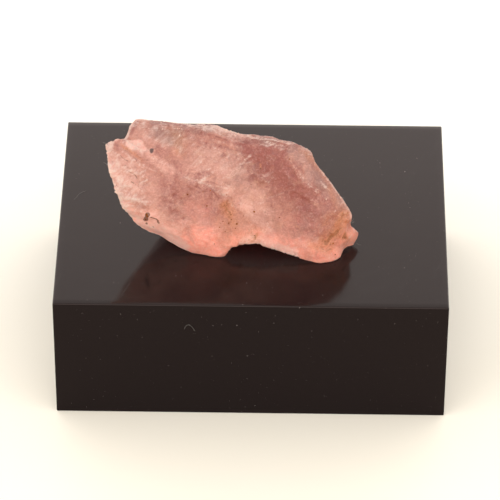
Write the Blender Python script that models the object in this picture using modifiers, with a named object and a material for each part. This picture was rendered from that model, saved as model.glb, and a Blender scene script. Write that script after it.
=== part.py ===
"""Rough rose fluorite resting on a polished black display block.

The stone is one broken cleavage fragment. It leans a little back and stands on a few points of its
underside, with its left end clear of the block. Blender units are metres and +Z is up. The origin is the
middle of the block's underside, +X runs along the block's long side, and the stone's broad broken face
looks towards -Y. Lengths below are in millimetres until place() turns a finished mesh into metres.
"""

import math
import random

import bmesh
import bpy
import numpy as np
from mathutils import Vector, noise

MM = 0.001

# Display block: width, depth and height, with a finely broken edge
BLOCK_SIZE = (40.0, 30.0, 14.6)
BLOCK_EDGE = 0.25
BLOCK_EDGE_SEGMENTS = 2

# Finishes: colour, roughness, metallic value, refractive index and share of light that passes through
STONE_FINISH = ((0.72, 0.33, 0.25), 0.38, 0.0, 1.434, 0.35)
BLOCK_FINISH = ((0.012, 0.010, 0.010), 0.12, 0.0, 1.49, 0.0)

# Stone: clearance under its feet, the grid it is fused on, how often and how far its corners are worn,
# and its triangles
STONE_GAP = 0.1
FUSE_GRID = 0.16
WEAR_PASSES = 3
WEAR_FACTOR = 0.5
STONE_TRIANGLES = 8000

# Waviness of every broken face, coarse and fine: depth and length
WAVES = ((0.16, 3.4), (0.06, 1.3))
WAVE_MARGIN = 0.05

# Curved ripples on the left blade, which spread from behind the upper block
RIPPLE_CENTRE = (-8.6, -1.6, 13.4)
RIPPLE_LENGTH = 1.25
RIPPLE_DEPTH = 0.045
RIPPLE_WANDER = 0.45
RIPPLE_WANDER_LENGTH = 2.0
RIPPLE_EDGE = -9.6
RIPPLE_FADE = 1.6
RIPPLE_TURN = 0.5

# Small shelves beside the crest and the right rim: how long and wide they run, how steep their edges are
# and where they level out, how deep they go, how far from the line they reach and fade, over what length
# they end, and what sets one line's pattern apart from the next
LEDGE_SIZE = (4.0, 0.62)
LEDGE_STEEPNESS = 3.0
LEDGE_LEVEL = 0.5
LEDGE_DEPTH = 0.17
LEDGE_REACH = 1.5
LEDGE_FADE = 1.0
LEDGE_END = 1.2
LEDGE_SHIFT = 0.37

# Shallow pits where crumbs have come out
PIT_SEED = 11
PIT_COUNT = 60
PIT_RADIUS = (0.35, 0.95)
PIT_DEPTH = (0.05, 0.15)

# Corners of the stone, measured from the middle of the block's top face. Its feet reach a little under
# zero, because they are flattened where they stand.
CORNERS = {
    # Left blade, round its free edge from the top down
    "blade notch": (-12.9, -3.0, 12.0),
    "blade top": (-13.9, -3.2, 12.2),
    "blade tip": (-15.1, -3.8, 11.7),
    "blade upper edge": (-14.8, -5.0, 9.5),
    "blade middle edge": (-14.1, -5.7, 7.4),
    "blade lower edge": (-13.3, -5.9, 5.3),
    "blade foot": (-12.1, -6.0, 3.1),
    "blade heel": (-11.2, -5.9, 2.1),
    "blade face": (-10.6, -6.6, 4.5),
    "blade ridge low": (-9.6, -6.5, 5.7),
    "blade ridge high": (-9.8, -5.3, 9.2),
    "blade ridge top": (-10.8, -3.9, 10.6),
    "blade back high": (-13.2, -2.3, 10.2),
    "blade back edge": (-13.6, -4.2, 7.4),
    "blade back low": (-11.8, -3.0, 4.6),
    # Upper block, whose front slopes up to the crest
    "block shoulder": (-12.6, -1.3, 12.4),
    "block notch": (-13.0, -2.6, 11.5),
    "block apex": (-12.0, -0.5, 12.5),
    "block front": (-10.2, -3.4, 10.6),
    "block brow": (-6.8, -4.1, 9.8),
    # Crest, from left to right, and the lip in front of it
    "crest left": (-8.8, -1.1, 12.5),
    "crest step": (-6.7, -1.2, 12.5),
    "crest middle": (-3.8, -1.5, 12.4),
    "crest dip": (-0.9, -2.2, 11.9),
    "crest right": (2.2, -3.0, 12.3),
    "crest bend": (3.7, -3.7, 12.4),
    "crest end": (4.9, -4.4, 12.3),
    "lip left": (-6.5, -1.9, 12.4),
    "lip middle": (-3.7, -2.5, 12.2),
    "lip dip": (-1.2, -2.9, 11.5),
    "lip right": (1.2, -3.9, 11.7),
    "lip end": (3.3, -4.5, 11.8),
    # Long ridge across the front, from upper left to lower right
    "ridge start": (-9.6, -4.5, 9.9),
    "ridge left": (-7.7, -4.9, 8.8),
    "ridge middle": (-5.6, -5.3, 8.2),
    "ridge fork": (-4.3, -5.2, 7.4),
    "ridge right": (-2.6, -5.1, 6.2),
    "ridge end": (-2.0, -5.5, 4.9),
    "slope middle": (-3.0, -4.3, 9.3),
    # Left lobe below the ridge
    "lobe belly": (-5.0, -6.3, 5.0),
    "lobe low belly": (-5.0, -7.2, 2.0),
    "lobe toe": (-3.8, -7.5, -0.2),
    "lobe toe right": (-2.7, -7.3, -0.1),
    "lobe side": (-2.0, -7.3, 1.2),
    "lobe toe left": (-5.8, -7.0, -0.1),
    "lobe heel": (-8.1, -6.2, 0.5),
    "lobe heel left": (-9.6, -5.8, 1.2),
    # Right body, whose face stands steeper than the left one
    "valley": (-1.5, -6.3, 3.6),
    "arch left": (-0.9, -7.3, 1.5),
    "arch right": (0.7, -7.2, 1.5),
    "face left": (0.0, -5.6, 4.9),
    "face high": (0.2, -4.6, 8.6),
    "face middle": (3.1, -5.7, 7.0),
    "rim high": (4.0, -5.6, 10.8),
    "rim upper": (5.3, -6.1, 8.8),
    "rim middle": (6.8, -6.3, 7.6),
    "rim lower": (7.8, -6.3, 6.4),
    "rim low": (8.4, -6.1, 5.2),
    "belly right": (8.5, -6.8, 2.8),
    "belly middle": (4.9, -7.8, 2.0),
    "sole left": (3.0, -7.6, 0.8),
    "sole right": (5.3, -8.0, 0.3),
    "toe": (6.9, -8.3, -0.2),
    "toe right": (8.2, -8.0, -0.2),
    "toe end": (9.5, -6.7, 0.0),
    "toe top": (7.0, -8.1, 1.5),
    "foot front": (9.6, -6.3, 2.7),
    # Right rim band, outside the ridge that ends the face
    "band top": (5.7, -4.4, 11.6),
    "band high": (6.4, -4.5, 10.6),
    "band upper": (7.2, -4.8, 9.2),
    "band middle": (8.1, -5.1, 7.9),
    "band lower": (9.6, -5.5, 5.7),
    "band low": (10.1, -5.3, 4.4),
    "band foot": (10.3, -5.0, 2.4),
    # Knob at the right end
    "knob top": (10.4, -4.8, 2.0),
    "knob tip": (11.0, -4.6, 1.1),
    "knob front": (10.5, -5.7, 0.8),
    "knob under": (10.5, -5.6, 0.0),
    "knob back": (10.0, -3.4, 0.9),
    # Back, from left to right, high to low
    "back high left": (-9.8, 0.9, 9.9),
    "back high": (-5.5, 1.0, 10.1),
    "back high middle": (-1.6, 0.0, 9.8),
    "back high right": (2.4, -1.2, 9.8),
    "back high end": (5.2, -2.4, 8.9),
    "back left": (-9.0, 1.3, 6.4),
    "back middle": (-4.0, 2.3, 5.6),
    "back right": (1.6, 1.3, 6.2),
    "back far right": (6.2, -0.9, 5.6),
    "back end": (8.6, -3.0, 4.4),
    "back foot left": (-6.6, 1.0, 0.2),
    "back foot": (-3.0, 1.8, -0.2),
    "back foot middle": (2.0, 1.2, 0.3),
    "back foot right": (6.4, -0.8, -0.2),
    "back foot end": (9.2, -3.0, 0.2),
    "overhang": (-10.4, -1.2, 3.4),
    # Two slabs that the breaking left standing on the back
    "slab top left": (-8.2, 1.5, 8.8),
    "slab top right": (-3.2, 1.7, 8.4),
    "slab side right": (-1.4, 2.1, 6.1),
    "slab low right": (-2.0, 2.5, 4.2),
    "slab low left": (-7.0, 2.0, 2.9),
    "slab side left": (-9.0, 1.6, 6.0),
    "wedge top left": (0.8, 1.1, 7.9),
    "wedge top right": (4.6, -0.7, 7.3),
    "wedge side right": (6.5, -0.6, 4.6),
    "wedge low right": (5.9, -0.4, 2.4),
    "wedge low left": (2.4, 1.5, 1.7),
    # Inside the stone, where neighbouring lumps overlap
    "inside left": (-8.0, -2.4, 6.0),
    "inside middle": (-3.5, -2.0, 6.0),
    "inside right": (2.5, -2.8, 6.0),
    "inside end": (6.5, -4.0, 3.5),
}

# Convex lumps that the stone is fused from, each the hull of some of its corners
LUMPS = {
    "left blade": (
        "blade notch", "blade top", "blade tip", "blade upper edge", "blade middle edge",
        "blade lower edge", "blade foot", "blade heel", "blade face", "blade ridge low",
        "blade ridge high", "blade ridge top", "blade back high", "blade back edge", "blade back low",
        "ridge start", "overhang", "lobe heel left", "inside left",
    ),
    "upper block": (
        "block shoulder", "block notch", "block apex", "block front", "block brow", "crest left",
        "crest step", "lip left", "ridge start", "blade ridge top", "back high left", "back high",
        "blade back high", "inside left",
    ),
    "left lobe": (
        "blade ridge high", "blade ridge low", "ridge start", "ridge left", "ridge middle",
        "ridge fork", "ridge right", "ridge end", "lobe belly", "lobe low belly", "lobe toe",
        "lobe toe right", "lobe side", "lobe toe left", "lobe heel", "lobe heel left", "blade face",
        "blade heel", "overhang", "back foot left", "back foot", "back left", "back middle",
    ),
    "heart": (
        "crest left", "crest step", "crest middle", "crest dip", "lip left", "lip middle", "lip dip",
        "ridge start", "ridge left", "ridge middle", "ridge fork", "ridge right", "slope middle",
        "back high left", "back high", "back high middle", "back left", "back middle", "back foot",
        "back foot left",
    ),
    "saddle": (
        "lip middle", "lip dip", "lip right", "slope middle", "ridge fork", "ridge right", "face left",
        "face high", "face middle", "inside middle", "inside right",
    ),
    "arch": (
        "ridge right", "ridge end", "valley", "lobe side", "arch left", "arch right", "face left",
        "inside middle", "inside right", "back middle", "back foot", "back foot middle",
    ),
    "right body": (
        "crest dip", "crest right", "crest bend", "lip dip", "lip right", "lip end", "ridge right",
        "face left", "face middle", "rim high", "rim upper", "rim middle", "rim lower", "arch right",
        "sole left", "belly middle", "back high middle", "back high right", "back high end",
        "back right", "back far right", "back foot middle", "inside middle",
    ),
    "right foot": (
        "face middle", "rim middle", "rim lower", "rim low", "belly right", "belly middle",
        "arch right", "sole left", "sole right", "toe", "toe right", "toe end", "toe top",
        "foot front", "back far right", "back end", "back foot right", "back foot end",
    ),
    "right rim": (
        "rim high", "rim upper", "rim middle", "rim lower", "rim low", "lip end", "band top",
        "band high", "band upper", "band middle", "band lower", "band low", "band foot", "foot front",
        "crest end", "crest bend", "back high end", "back far right", "back end", "inside end",
    ),
    "knob": (
        "knob top", "knob tip", "knob front", "knob under", "knob back", "band foot", "foot front",
        "toe end", "belly right", "back foot end", "inside end",
    ),
    "back slab": (
        "slab top left", "slab top right", "slab side right", "slab low right", "slab low left",
        "slab side left", "inside left", "inside middle",
    ),
    "back wedge": (
        "wedge top left", "wedge top right", "wedge side right", "wedge low right", "wedge low left",
        "inside middle", "inside end",
    ),
}

# Lines along which small shelves run
LEDGE_PATHS = (
    ("lip left", "lip middle", "lip dip", "lip right", "lip end"),
    ("lip end", "rim high", "rim upper", "rim middle", "rim lower", "rim low"),
    ("back high left", "back high", "back high middle", "back high right", "back high end"),
)


def clear_scene():
    """Remove whatever the file already holds."""
    for obj in list(bpy.data.objects):
        bpy.data.objects.remove(obj, do_unlink=True)


def principled(name, color, roughness, metallic, ior, transmission):
    """Return a material whose Principled shader has these values."""
    material = bpy.data.materials.new(name)
    material.use_nodes = True
    shader = material.node_tree.nodes["Principled BSDF"]
    shader.inputs["Base Color"].default_value = (*color, 1.0)
    shader.inputs["Roughness"].default_value = roughness
    shader.inputs["Metallic"].default_value = metallic
    shader.inputs["IOR"].default_value = ior
    shader.inputs["Transmission Weight"].default_value = transmission
    return material


def new_object(name, mesh, collection):
    """Link an object for this mesh to the collection."""
    obj = bpy.data.objects.new(name, mesh)
    collection.objects.link(obj)
    return obj


def place(mesh, offset):
    """Turn a mesh in millimetres into metres, moved by the offset in millimetres."""
    points = read_points(mesh)
    write_points(mesh, (points + np.array(offset)) * MM)


def read_points(mesh):
    """Return the places of a mesh's vertices as rows."""
    points = np.empty(len(mesh.vertices) * 3)
    mesh.vertices.foreach_get("co", points)
    return points.reshape(-1, 3)


def write_points(mesh, points):
    """Put a mesh's vertices at these places."""
    mesh.vertices.foreach_set("co", np.asarray(points, dtype=np.float32).ravel())
    mesh.update()


def applied(obj):
    """Give the object the mesh that its modifiers make, and drop the modifiers."""
    bpy.context.view_layer.update()
    evaluated = obj.evaluated_get(bpy.context.evaluated_depsgraph_get())
    mesh = bpy.data.meshes.new_from_object(evaluated)
    obj.modifiers.clear()
    obj.data = mesh
    return mesh


def fused_lumps(collection):
    """Return the stone's object, its lumps fused into one closed skin on a fine grid and a little worn."""
    form = bmesh.new()
    for names in LUMPS.values():
        corners = [form.verts.new(CORNERS[name]) for name in names]
        hull = bmesh.ops.convex_hull(form, input=corners)
        inside = {item for item in hull["geom_interior"] + hull["geom_unused"]
                  if isinstance(item, bmesh.types.BMVert)}
        bmesh.ops.delete(form, geom=list(inside), context="VERTS")
    mesh = bpy.data.meshes.new("fluorite")
    form.to_mesh(mesh)
    form.free()
    stone = new_object("fluorite", mesh, collection)
    fuse = stone.modifiers.new("fuse", "REMESH")
    fuse.mode = "VOXEL"
    fuse.voxel_size = FUSE_GRID
    wear = stone.modifiers.new("wear", "SMOOTH")
    wear.factor = WEAR_FACTOR
    wear.iterations = WEAR_PASSES
    applied(stone)
    return stone


def smooth_step(edge, width, values):
    """Return 0 below the edge and 1 above it, with a soft change of this width."""
    share = np.clip((values - edge) / width + 0.5, 0.0, 1.0)
    return share * share * (3.0 - 2.0 * share)


def noise_at(points, length):
    """Return smooth noise from -1 to 1 whose waves are this long."""
    return np.array([noise.noise(Vector(point) / length) for point in points])


def beside_path(points, names):
    """Return how far each point is along the line through these corners, from its nearer end, and from it."""
    path = np.array([CORNERS[name] for name in names])
    along = np.zeros(len(points))
    away = np.full(len(points), np.inf)
    passed = 0.0
    for start, end in zip(path[:-1], path[1:]):
        run = end - start
        length = np.linalg.norm(run)
        share = np.clip((points - start) @ run / length**2, 0.0, 1.0)
        distance = np.linalg.norm(points - start - share[:, None] * run, axis=1)
        nearer = distance < away
        along[nearer] = passed + share[nearer] * length
        away[nearer] = distance[nearer]
        passed += length
    return along, np.minimum(along, passed - along), away


def waves(points):
    """Waviness of the broken faces."""
    return sum(depth * noise_at(points, length) for depth, length in WAVES) - WAVE_MARGIN


def ripples(points, normals):
    """Curved ripples on the front of the left blade."""
    radius = np.linalg.norm(points - np.array(RIPPLE_CENTRE), axis=1)
    radius += RIPPLE_WANDER * noise_at(points, RIPPLE_WANDER_LENGTH)
    on_blade = 1.0 - smooth_step(RIPPLE_EDGE, RIPPLE_FADE, points[:, 0])
    on_front = 1.0 - smooth_step(0.0, RIPPLE_TURN, normals[:, 1])
    return RIPPLE_DEPTH * np.sin(math.tau * radius / RIPPLE_LENGTH) * on_blade * on_front


def ledges(points):
    """Small shelves that run beside the sharp lines of the stone."""
    total = np.zeros(len(points))
    for level, names in enumerate(LEDGE_PATHS):
        along, from_end, away = beside_path(points, names)
        level_at = np.full(len(points), level + LEDGE_SHIFT)
        in_flow = np.stack([along / LEDGE_SIZE[0], away / LEDGE_SIZE[1], level_at], axis=1)
        shelf = np.clip(LEDGE_STEEPNESS * noise_at(in_flow, 1.0), -LEDGE_LEVEL, LEDGE_LEVEL)
        near = 1.0 - smooth_step(LEDGE_REACH, LEDGE_FADE, away)
        total += LEDGE_DEPTH * shelf * near * smooth_step(LEDGE_END / 2, LEDGE_END, from_end)
    return total


def pits(points):
    """Shallow pits at places drawn over the whole stone."""
    draw = random.Random(PIT_SEED)
    total = np.zeros(len(points))
    for _ in range(PIT_COUNT):
        centre = points[draw.randrange(len(points))]
        radius = draw.uniform(*PIT_RADIUS)
        depth = draw.uniform(*PIT_DEPTH)
        distance = np.linalg.norm(points - centre, axis=1) / radius
        total -= depth * np.clip(1.0 - distance * distance, 0.0, None)
    return total


def carve(mesh):
    """Move the stone's skin in and out along its normals."""
    points = read_points(mesh)
    normals = np.empty(len(points) * 3)
    mesh.vertex_normals.foreach_get("vector", normals)
    normals = normals.reshape(-1, 3)
    relief = waves(points) + ripples(points, normals) + ledges(points) + pits(points)
    points = points + relief[:, None] * normals
    points[:, 2] = np.maximum(points[:, 2], 0.0)
    write_points(mesh, points)


def thinned(stone, triangles):
    """Bring the stone's skin down to about this many triangles, which turns worn curves into facets."""
    stone.modifiers.new("triangles", "TRIANGULATE")
    count = len(applied(stone).polygons)
    thin = stone.modifiers.new("thin", "DECIMATE")
    thin.ratio = triangles / count
    return applied(stone)


def build_stone(collection):
    """Build the stone and stand it on the block."""
    stone = fused_lumps(collection)
    carve(stone.data)
    mesh = thinned(stone, STONE_TRIANGLES)
    place(mesh, (0.0, 0.0, BLOCK_SIZE[2] + STONE_GAP))
    mesh.materials.clear()
    mesh.materials.append(principled("rose fluorite", *STONE_FINISH))
    return stone


def build_block(collection):
    """Build the display block, its edges finely broken."""
    form = bmesh.new()
    bmesh.ops.create_cube(form, size=1.0)
    bmesh.ops.scale(form, vec=BLOCK_SIZE, verts=form.verts)
    mesh = bpy.data.meshes.new("display_block")
    form.to_mesh(mesh)
    form.free()
    place(mesh, (0.0, 0.0, BLOCK_SIZE[2] / 2))
    mesh.materials.append(principled("black acrylic", *BLOCK_FINISH))
    block = new_object("display_block", mesh, collection)
    edge = block.modifiers.new("broken edge", "BEVEL")
    edge.width = BLOCK_EDGE * MM
    edge.segments = BLOCK_EDGE_SEGMENTS
    edge.limit_method = "ANGLE"
    edge.angle_limit = math.radians(30)
    return block


def main():
    clear_scene()
    collection = bpy.data.collections.new("rough_fluorite")
    bpy.context.scene.collection.children.link(collection)
    build_block(collection)
    build_stone(collection)


main()
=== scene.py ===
"""Dresses the rough rose fluorite and the polished black block that it rests on.

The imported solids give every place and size. The stone's broken skin is made again from its solid on a fine
grid, carved with chips, steps, ribs and pits, and tinted with frost, deeper rose, warm thin edges and iron
stain. A mark is named by the pixels of the 500 x 500 photograph where it shows, and it lies on the stone
where the line of sight through those pixels meets it. Lengths are in millimetres from the middle of the
block's top, until a finished mesh is turned into metres.
"""

import logging
import math
import random
from dataclasses import dataclass, field
from enum import Enum
from typing import Sequence, Union

import bmesh
import bpy
import numpy as np
from mathutils import Matrix, Vector, noise
from mathutils.bvhtree import BVHTree


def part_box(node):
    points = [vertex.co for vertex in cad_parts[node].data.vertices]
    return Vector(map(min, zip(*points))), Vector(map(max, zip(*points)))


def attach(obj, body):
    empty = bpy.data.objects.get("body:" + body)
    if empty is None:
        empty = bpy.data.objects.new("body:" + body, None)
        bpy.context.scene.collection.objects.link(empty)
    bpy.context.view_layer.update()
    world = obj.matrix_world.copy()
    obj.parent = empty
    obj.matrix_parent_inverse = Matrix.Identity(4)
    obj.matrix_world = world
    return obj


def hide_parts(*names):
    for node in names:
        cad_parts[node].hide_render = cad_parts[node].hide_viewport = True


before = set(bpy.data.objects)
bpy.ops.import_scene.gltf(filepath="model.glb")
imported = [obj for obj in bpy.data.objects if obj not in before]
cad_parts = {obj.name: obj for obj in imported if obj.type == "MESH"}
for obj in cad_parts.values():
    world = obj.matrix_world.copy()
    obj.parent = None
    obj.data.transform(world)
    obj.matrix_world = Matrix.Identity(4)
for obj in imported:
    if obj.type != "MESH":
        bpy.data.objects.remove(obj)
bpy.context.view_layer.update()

log = logging.getLogger("rose_fluorite")

MM = 0.001
BLOCK_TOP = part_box("display_block")[1].z / MM
TOP_MIDDLE = (0.0, 0.0, BLOCK_TOP)

# Names of the numbers that meshes hold at their vertices: the stone's mirrored underside, which gets a
# painted glow, and a grain's size
UNDERSIDE = "underside"
SIZE = "size"

Pixel = tuple[float, float]
Colour = tuple[float, float, float]
Value = Union["Field", float, Sequence[float], bpy.types.Material]


class Field:
    """A number or colour that changes over a surface, with the arithmetic that adds Math nodes for it."""

    def __init__(self, graph: "Graph", socket: bpy.types.NodeSocket) -> None:
        """Keep the graph and the output socket that gives the value."""
        self.graph = graph
        self.socket = socket

    def __add__(self, other: Value) -> "Field":
        """Sum."""
        return self.graph.math("ADD", self, other)

    def __radd__(self, other: Value) -> "Field":
        """Sum, with the field on the right."""
        return self.graph.math("ADD", other, self)

    def __sub__(self, other: Value) -> "Field":
        """Difference."""
        return self.graph.math("SUBTRACT", self, other)

    def __rsub__(self, other: Value) -> "Field":
        """Difference, with the field on the right."""
        return self.graph.math("SUBTRACT", other, self)

    def __mul__(self, other: Value) -> "Field":
        """Product."""
        return self.graph.math("MULTIPLY", self, other)

    def __rmul__(self, other: Value) -> "Field":
        """Product, with the field on the right."""
        return self.graph.math("MULTIPLY", other, self)

    def __abs__(self) -> "Field":
        """Size without the sign."""
        return self.graph.math("ABSOLUTE", self)


class Graph:
    """A node tree that is filled by expressions."""

    def __init__(self, tree: bpy.types.NodeTree) -> None:
        """Start from an empty tree."""
        self.tree = tree
        self.tree.nodes.clear()

    def node(self, kind: str, settings: dict[str, object] | None = None,
             sockets: dict[str | int, Value] | None = None) -> bpy.types.Node:
        """Add a node.

        Args:
            kind: the node's type.
            settings: its own options, set before its sockets.
            sockets: a value or a field for each input, by its name or its place in the list.

        Returns:
            The node.
        """
        made = self.tree.nodes.new(kind)
        for name, setting in (settings or {}).items():
            setattr(made, name, setting)
        for key, value in (sockets or {}).items():
            if isinstance(value, Field):
                self.tree.links.new(value.socket, made.inputs[key])
            else:
                made.inputs[key].default_value = value
        return made

    def field(self, kind: str, output: str | int, settings: dict[str, object] | None = None,
              sockets: dict[str | int, Value] | None = None) -> Field:
        """Add a node and return one of its outputs as a field."""
        return Field(self, self.node(kind, settings, sockets).outputs[output])

    def math(self, operation: str, *values: Value) -> Field:
        """Add a Math node on these values."""
        return self.field("ShaderNodeMath", 0, {"operation": operation}, dict(enumerate(values)))

    def step(self, value: Value, low: float, high: float) -> Field:
        """A soft change from 0 at the low value to 1 at the high one."""
        return self.field("ShaderNodeMapRange", "Result", {"interpolation_type": "SMOOTHSTEP"},
                          {"Value": value, "From Min": low, "From Max": high})


@dataclass(frozen=True)
class Clouds:
    """A cloudy noise pattern.

    Attributes:
        length: size of its largest patches in millimetres.
        detail: number of finer layers.
        roughness: how strong the finer layers are.
        warp: how far it is swirled.
        stretch: how much longer it is along each of its axes, or none where it isn't stretched.
        turn: how far those axes are turned, in radians.
    """

    length: float
    detail: float = 2.0
    roughness: float = 0.5
    warp: float = 0.0
    stretch: tuple[float, float, float] | None = None
    turn: tuple[float, float, float] = (0.0, 0.0, 0.0)


class Shader(Graph):
    """A material's node tree, with the patterns that the finishes share."""

    def __init__(self, name: str) -> None:
        """Make an empty material.

        Args:
            name: the material's name.
        """
        self.material = bpy.data.materials.new(name)
        self.material.use_nodes = True
        super().__init__(self.material.node_tree)
        self.place = self.field("ShaderNodeTexCoord", "Object")

    def attribute(self, name: str) -> Field:
        """A number that the mesh holds at its vertices."""
        return self.field("ShaderNodeAttribute", "Fac", {"attribute_name": name})

    def noise(self, pattern: Clouds) -> Field:
        """Cloudy noise on the piece.

        Args:
            pattern: its sizes.

        Returns:
            The noise, from 0 to 1.
        """
        place = self.place
        if pattern.stretch:
            place = self.field("ShaderNodeMapping", "Vector", {"vector_type": "TEXTURE"},
                               {"Vector": place, "Rotation": pattern.turn, "Scale": pattern.stretch})
        sockets = {"Vector": place, "Scale": 1.0 / (pattern.length * MM), "Detail": pattern.detail,
                   "Roughness": pattern.roughness, "Distortion": pattern.warp}
        return self.field("ShaderNodeTexNoise", "Fac", None, sockets)

    def cells(self, length: float) -> Field:
        """Distance to the nearest of scattered points, for cells of this size in millimetres."""
        return self.field("ShaderNodeTexVoronoi", "Distance", None,
                          {"Vector": self.place, "Scale": 1.0 / (length * MM)})

    def mix(self, share: Value, first: Value, second: Value, blend: str = "MIX") -> Field:
        """Mix two colours.

        Args:
            share: how much of the second there is, from 0 to 1.
            first: the first colour.
            second: the second colour.
            blend: how they mix.

        Returns:
            The mixed colour.
        """
        settings = {"data_type": "RGBA", "blend_type": blend, "clamp_factor": True}
        colours = [value if isinstance(value, Field) else (*value, 1.0) for value in (first, second)]
        return self.field("ShaderNodeMix", 2, settings, {0: share, 6: colours[0], 7: colours[1]})

    def bump(self, height: Field, depth: float, under: Field | None = None) -> Field:
        """A normal for a relief.

        Args:
            height: the relief.
            depth: its full height in millimetres.
            under: the normal that it is laid on, or none.

        Returns:
            The normal.
        """
        sockets = {"Height": height, "Distance": depth * MM}
        if under:
            sockets["Normal"] = under
        return self.field("ShaderNodeBump", "Normal", None, sockets)

    def surface(self, sockets: dict[str, Value]) -> Field:
        """A Principled shader with these inputs by name."""
        return self.field("ShaderNodeBsdfPrincipled", "BSDF", None, sockets)

    def end(self, surface: Field, absorption: tuple[Colour, float] | None = None) -> bpy.types.Material:
        """End the material.

        Args:
            surface: its shader.
            absorption: colour and density per metre of what passes through, or none.

        Returns:
            The material.
        """
        ends = {"Surface": surface}
        if absorption:
            colour, density = absorption
            ends["Volume"] = self.field("ShaderNodeVolumeAbsorption", "Volume", None,
                                        {"Color": (*colour, 1.0), "Density": density})
        self.node("ShaderNodeOutputMaterial", None, ends)
        return self.material


class Tint(Enum):
    """What a mark does to the stone's colour; each is a number at every vertex."""

    MILK = "milk"
    ROSE = "rose"
    WARM = "warm"
    FROST = "frost"
    IRON = "iron"
    MAUVE = "mauve"
    DARK = "dark"
    GREY = "grey"


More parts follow.
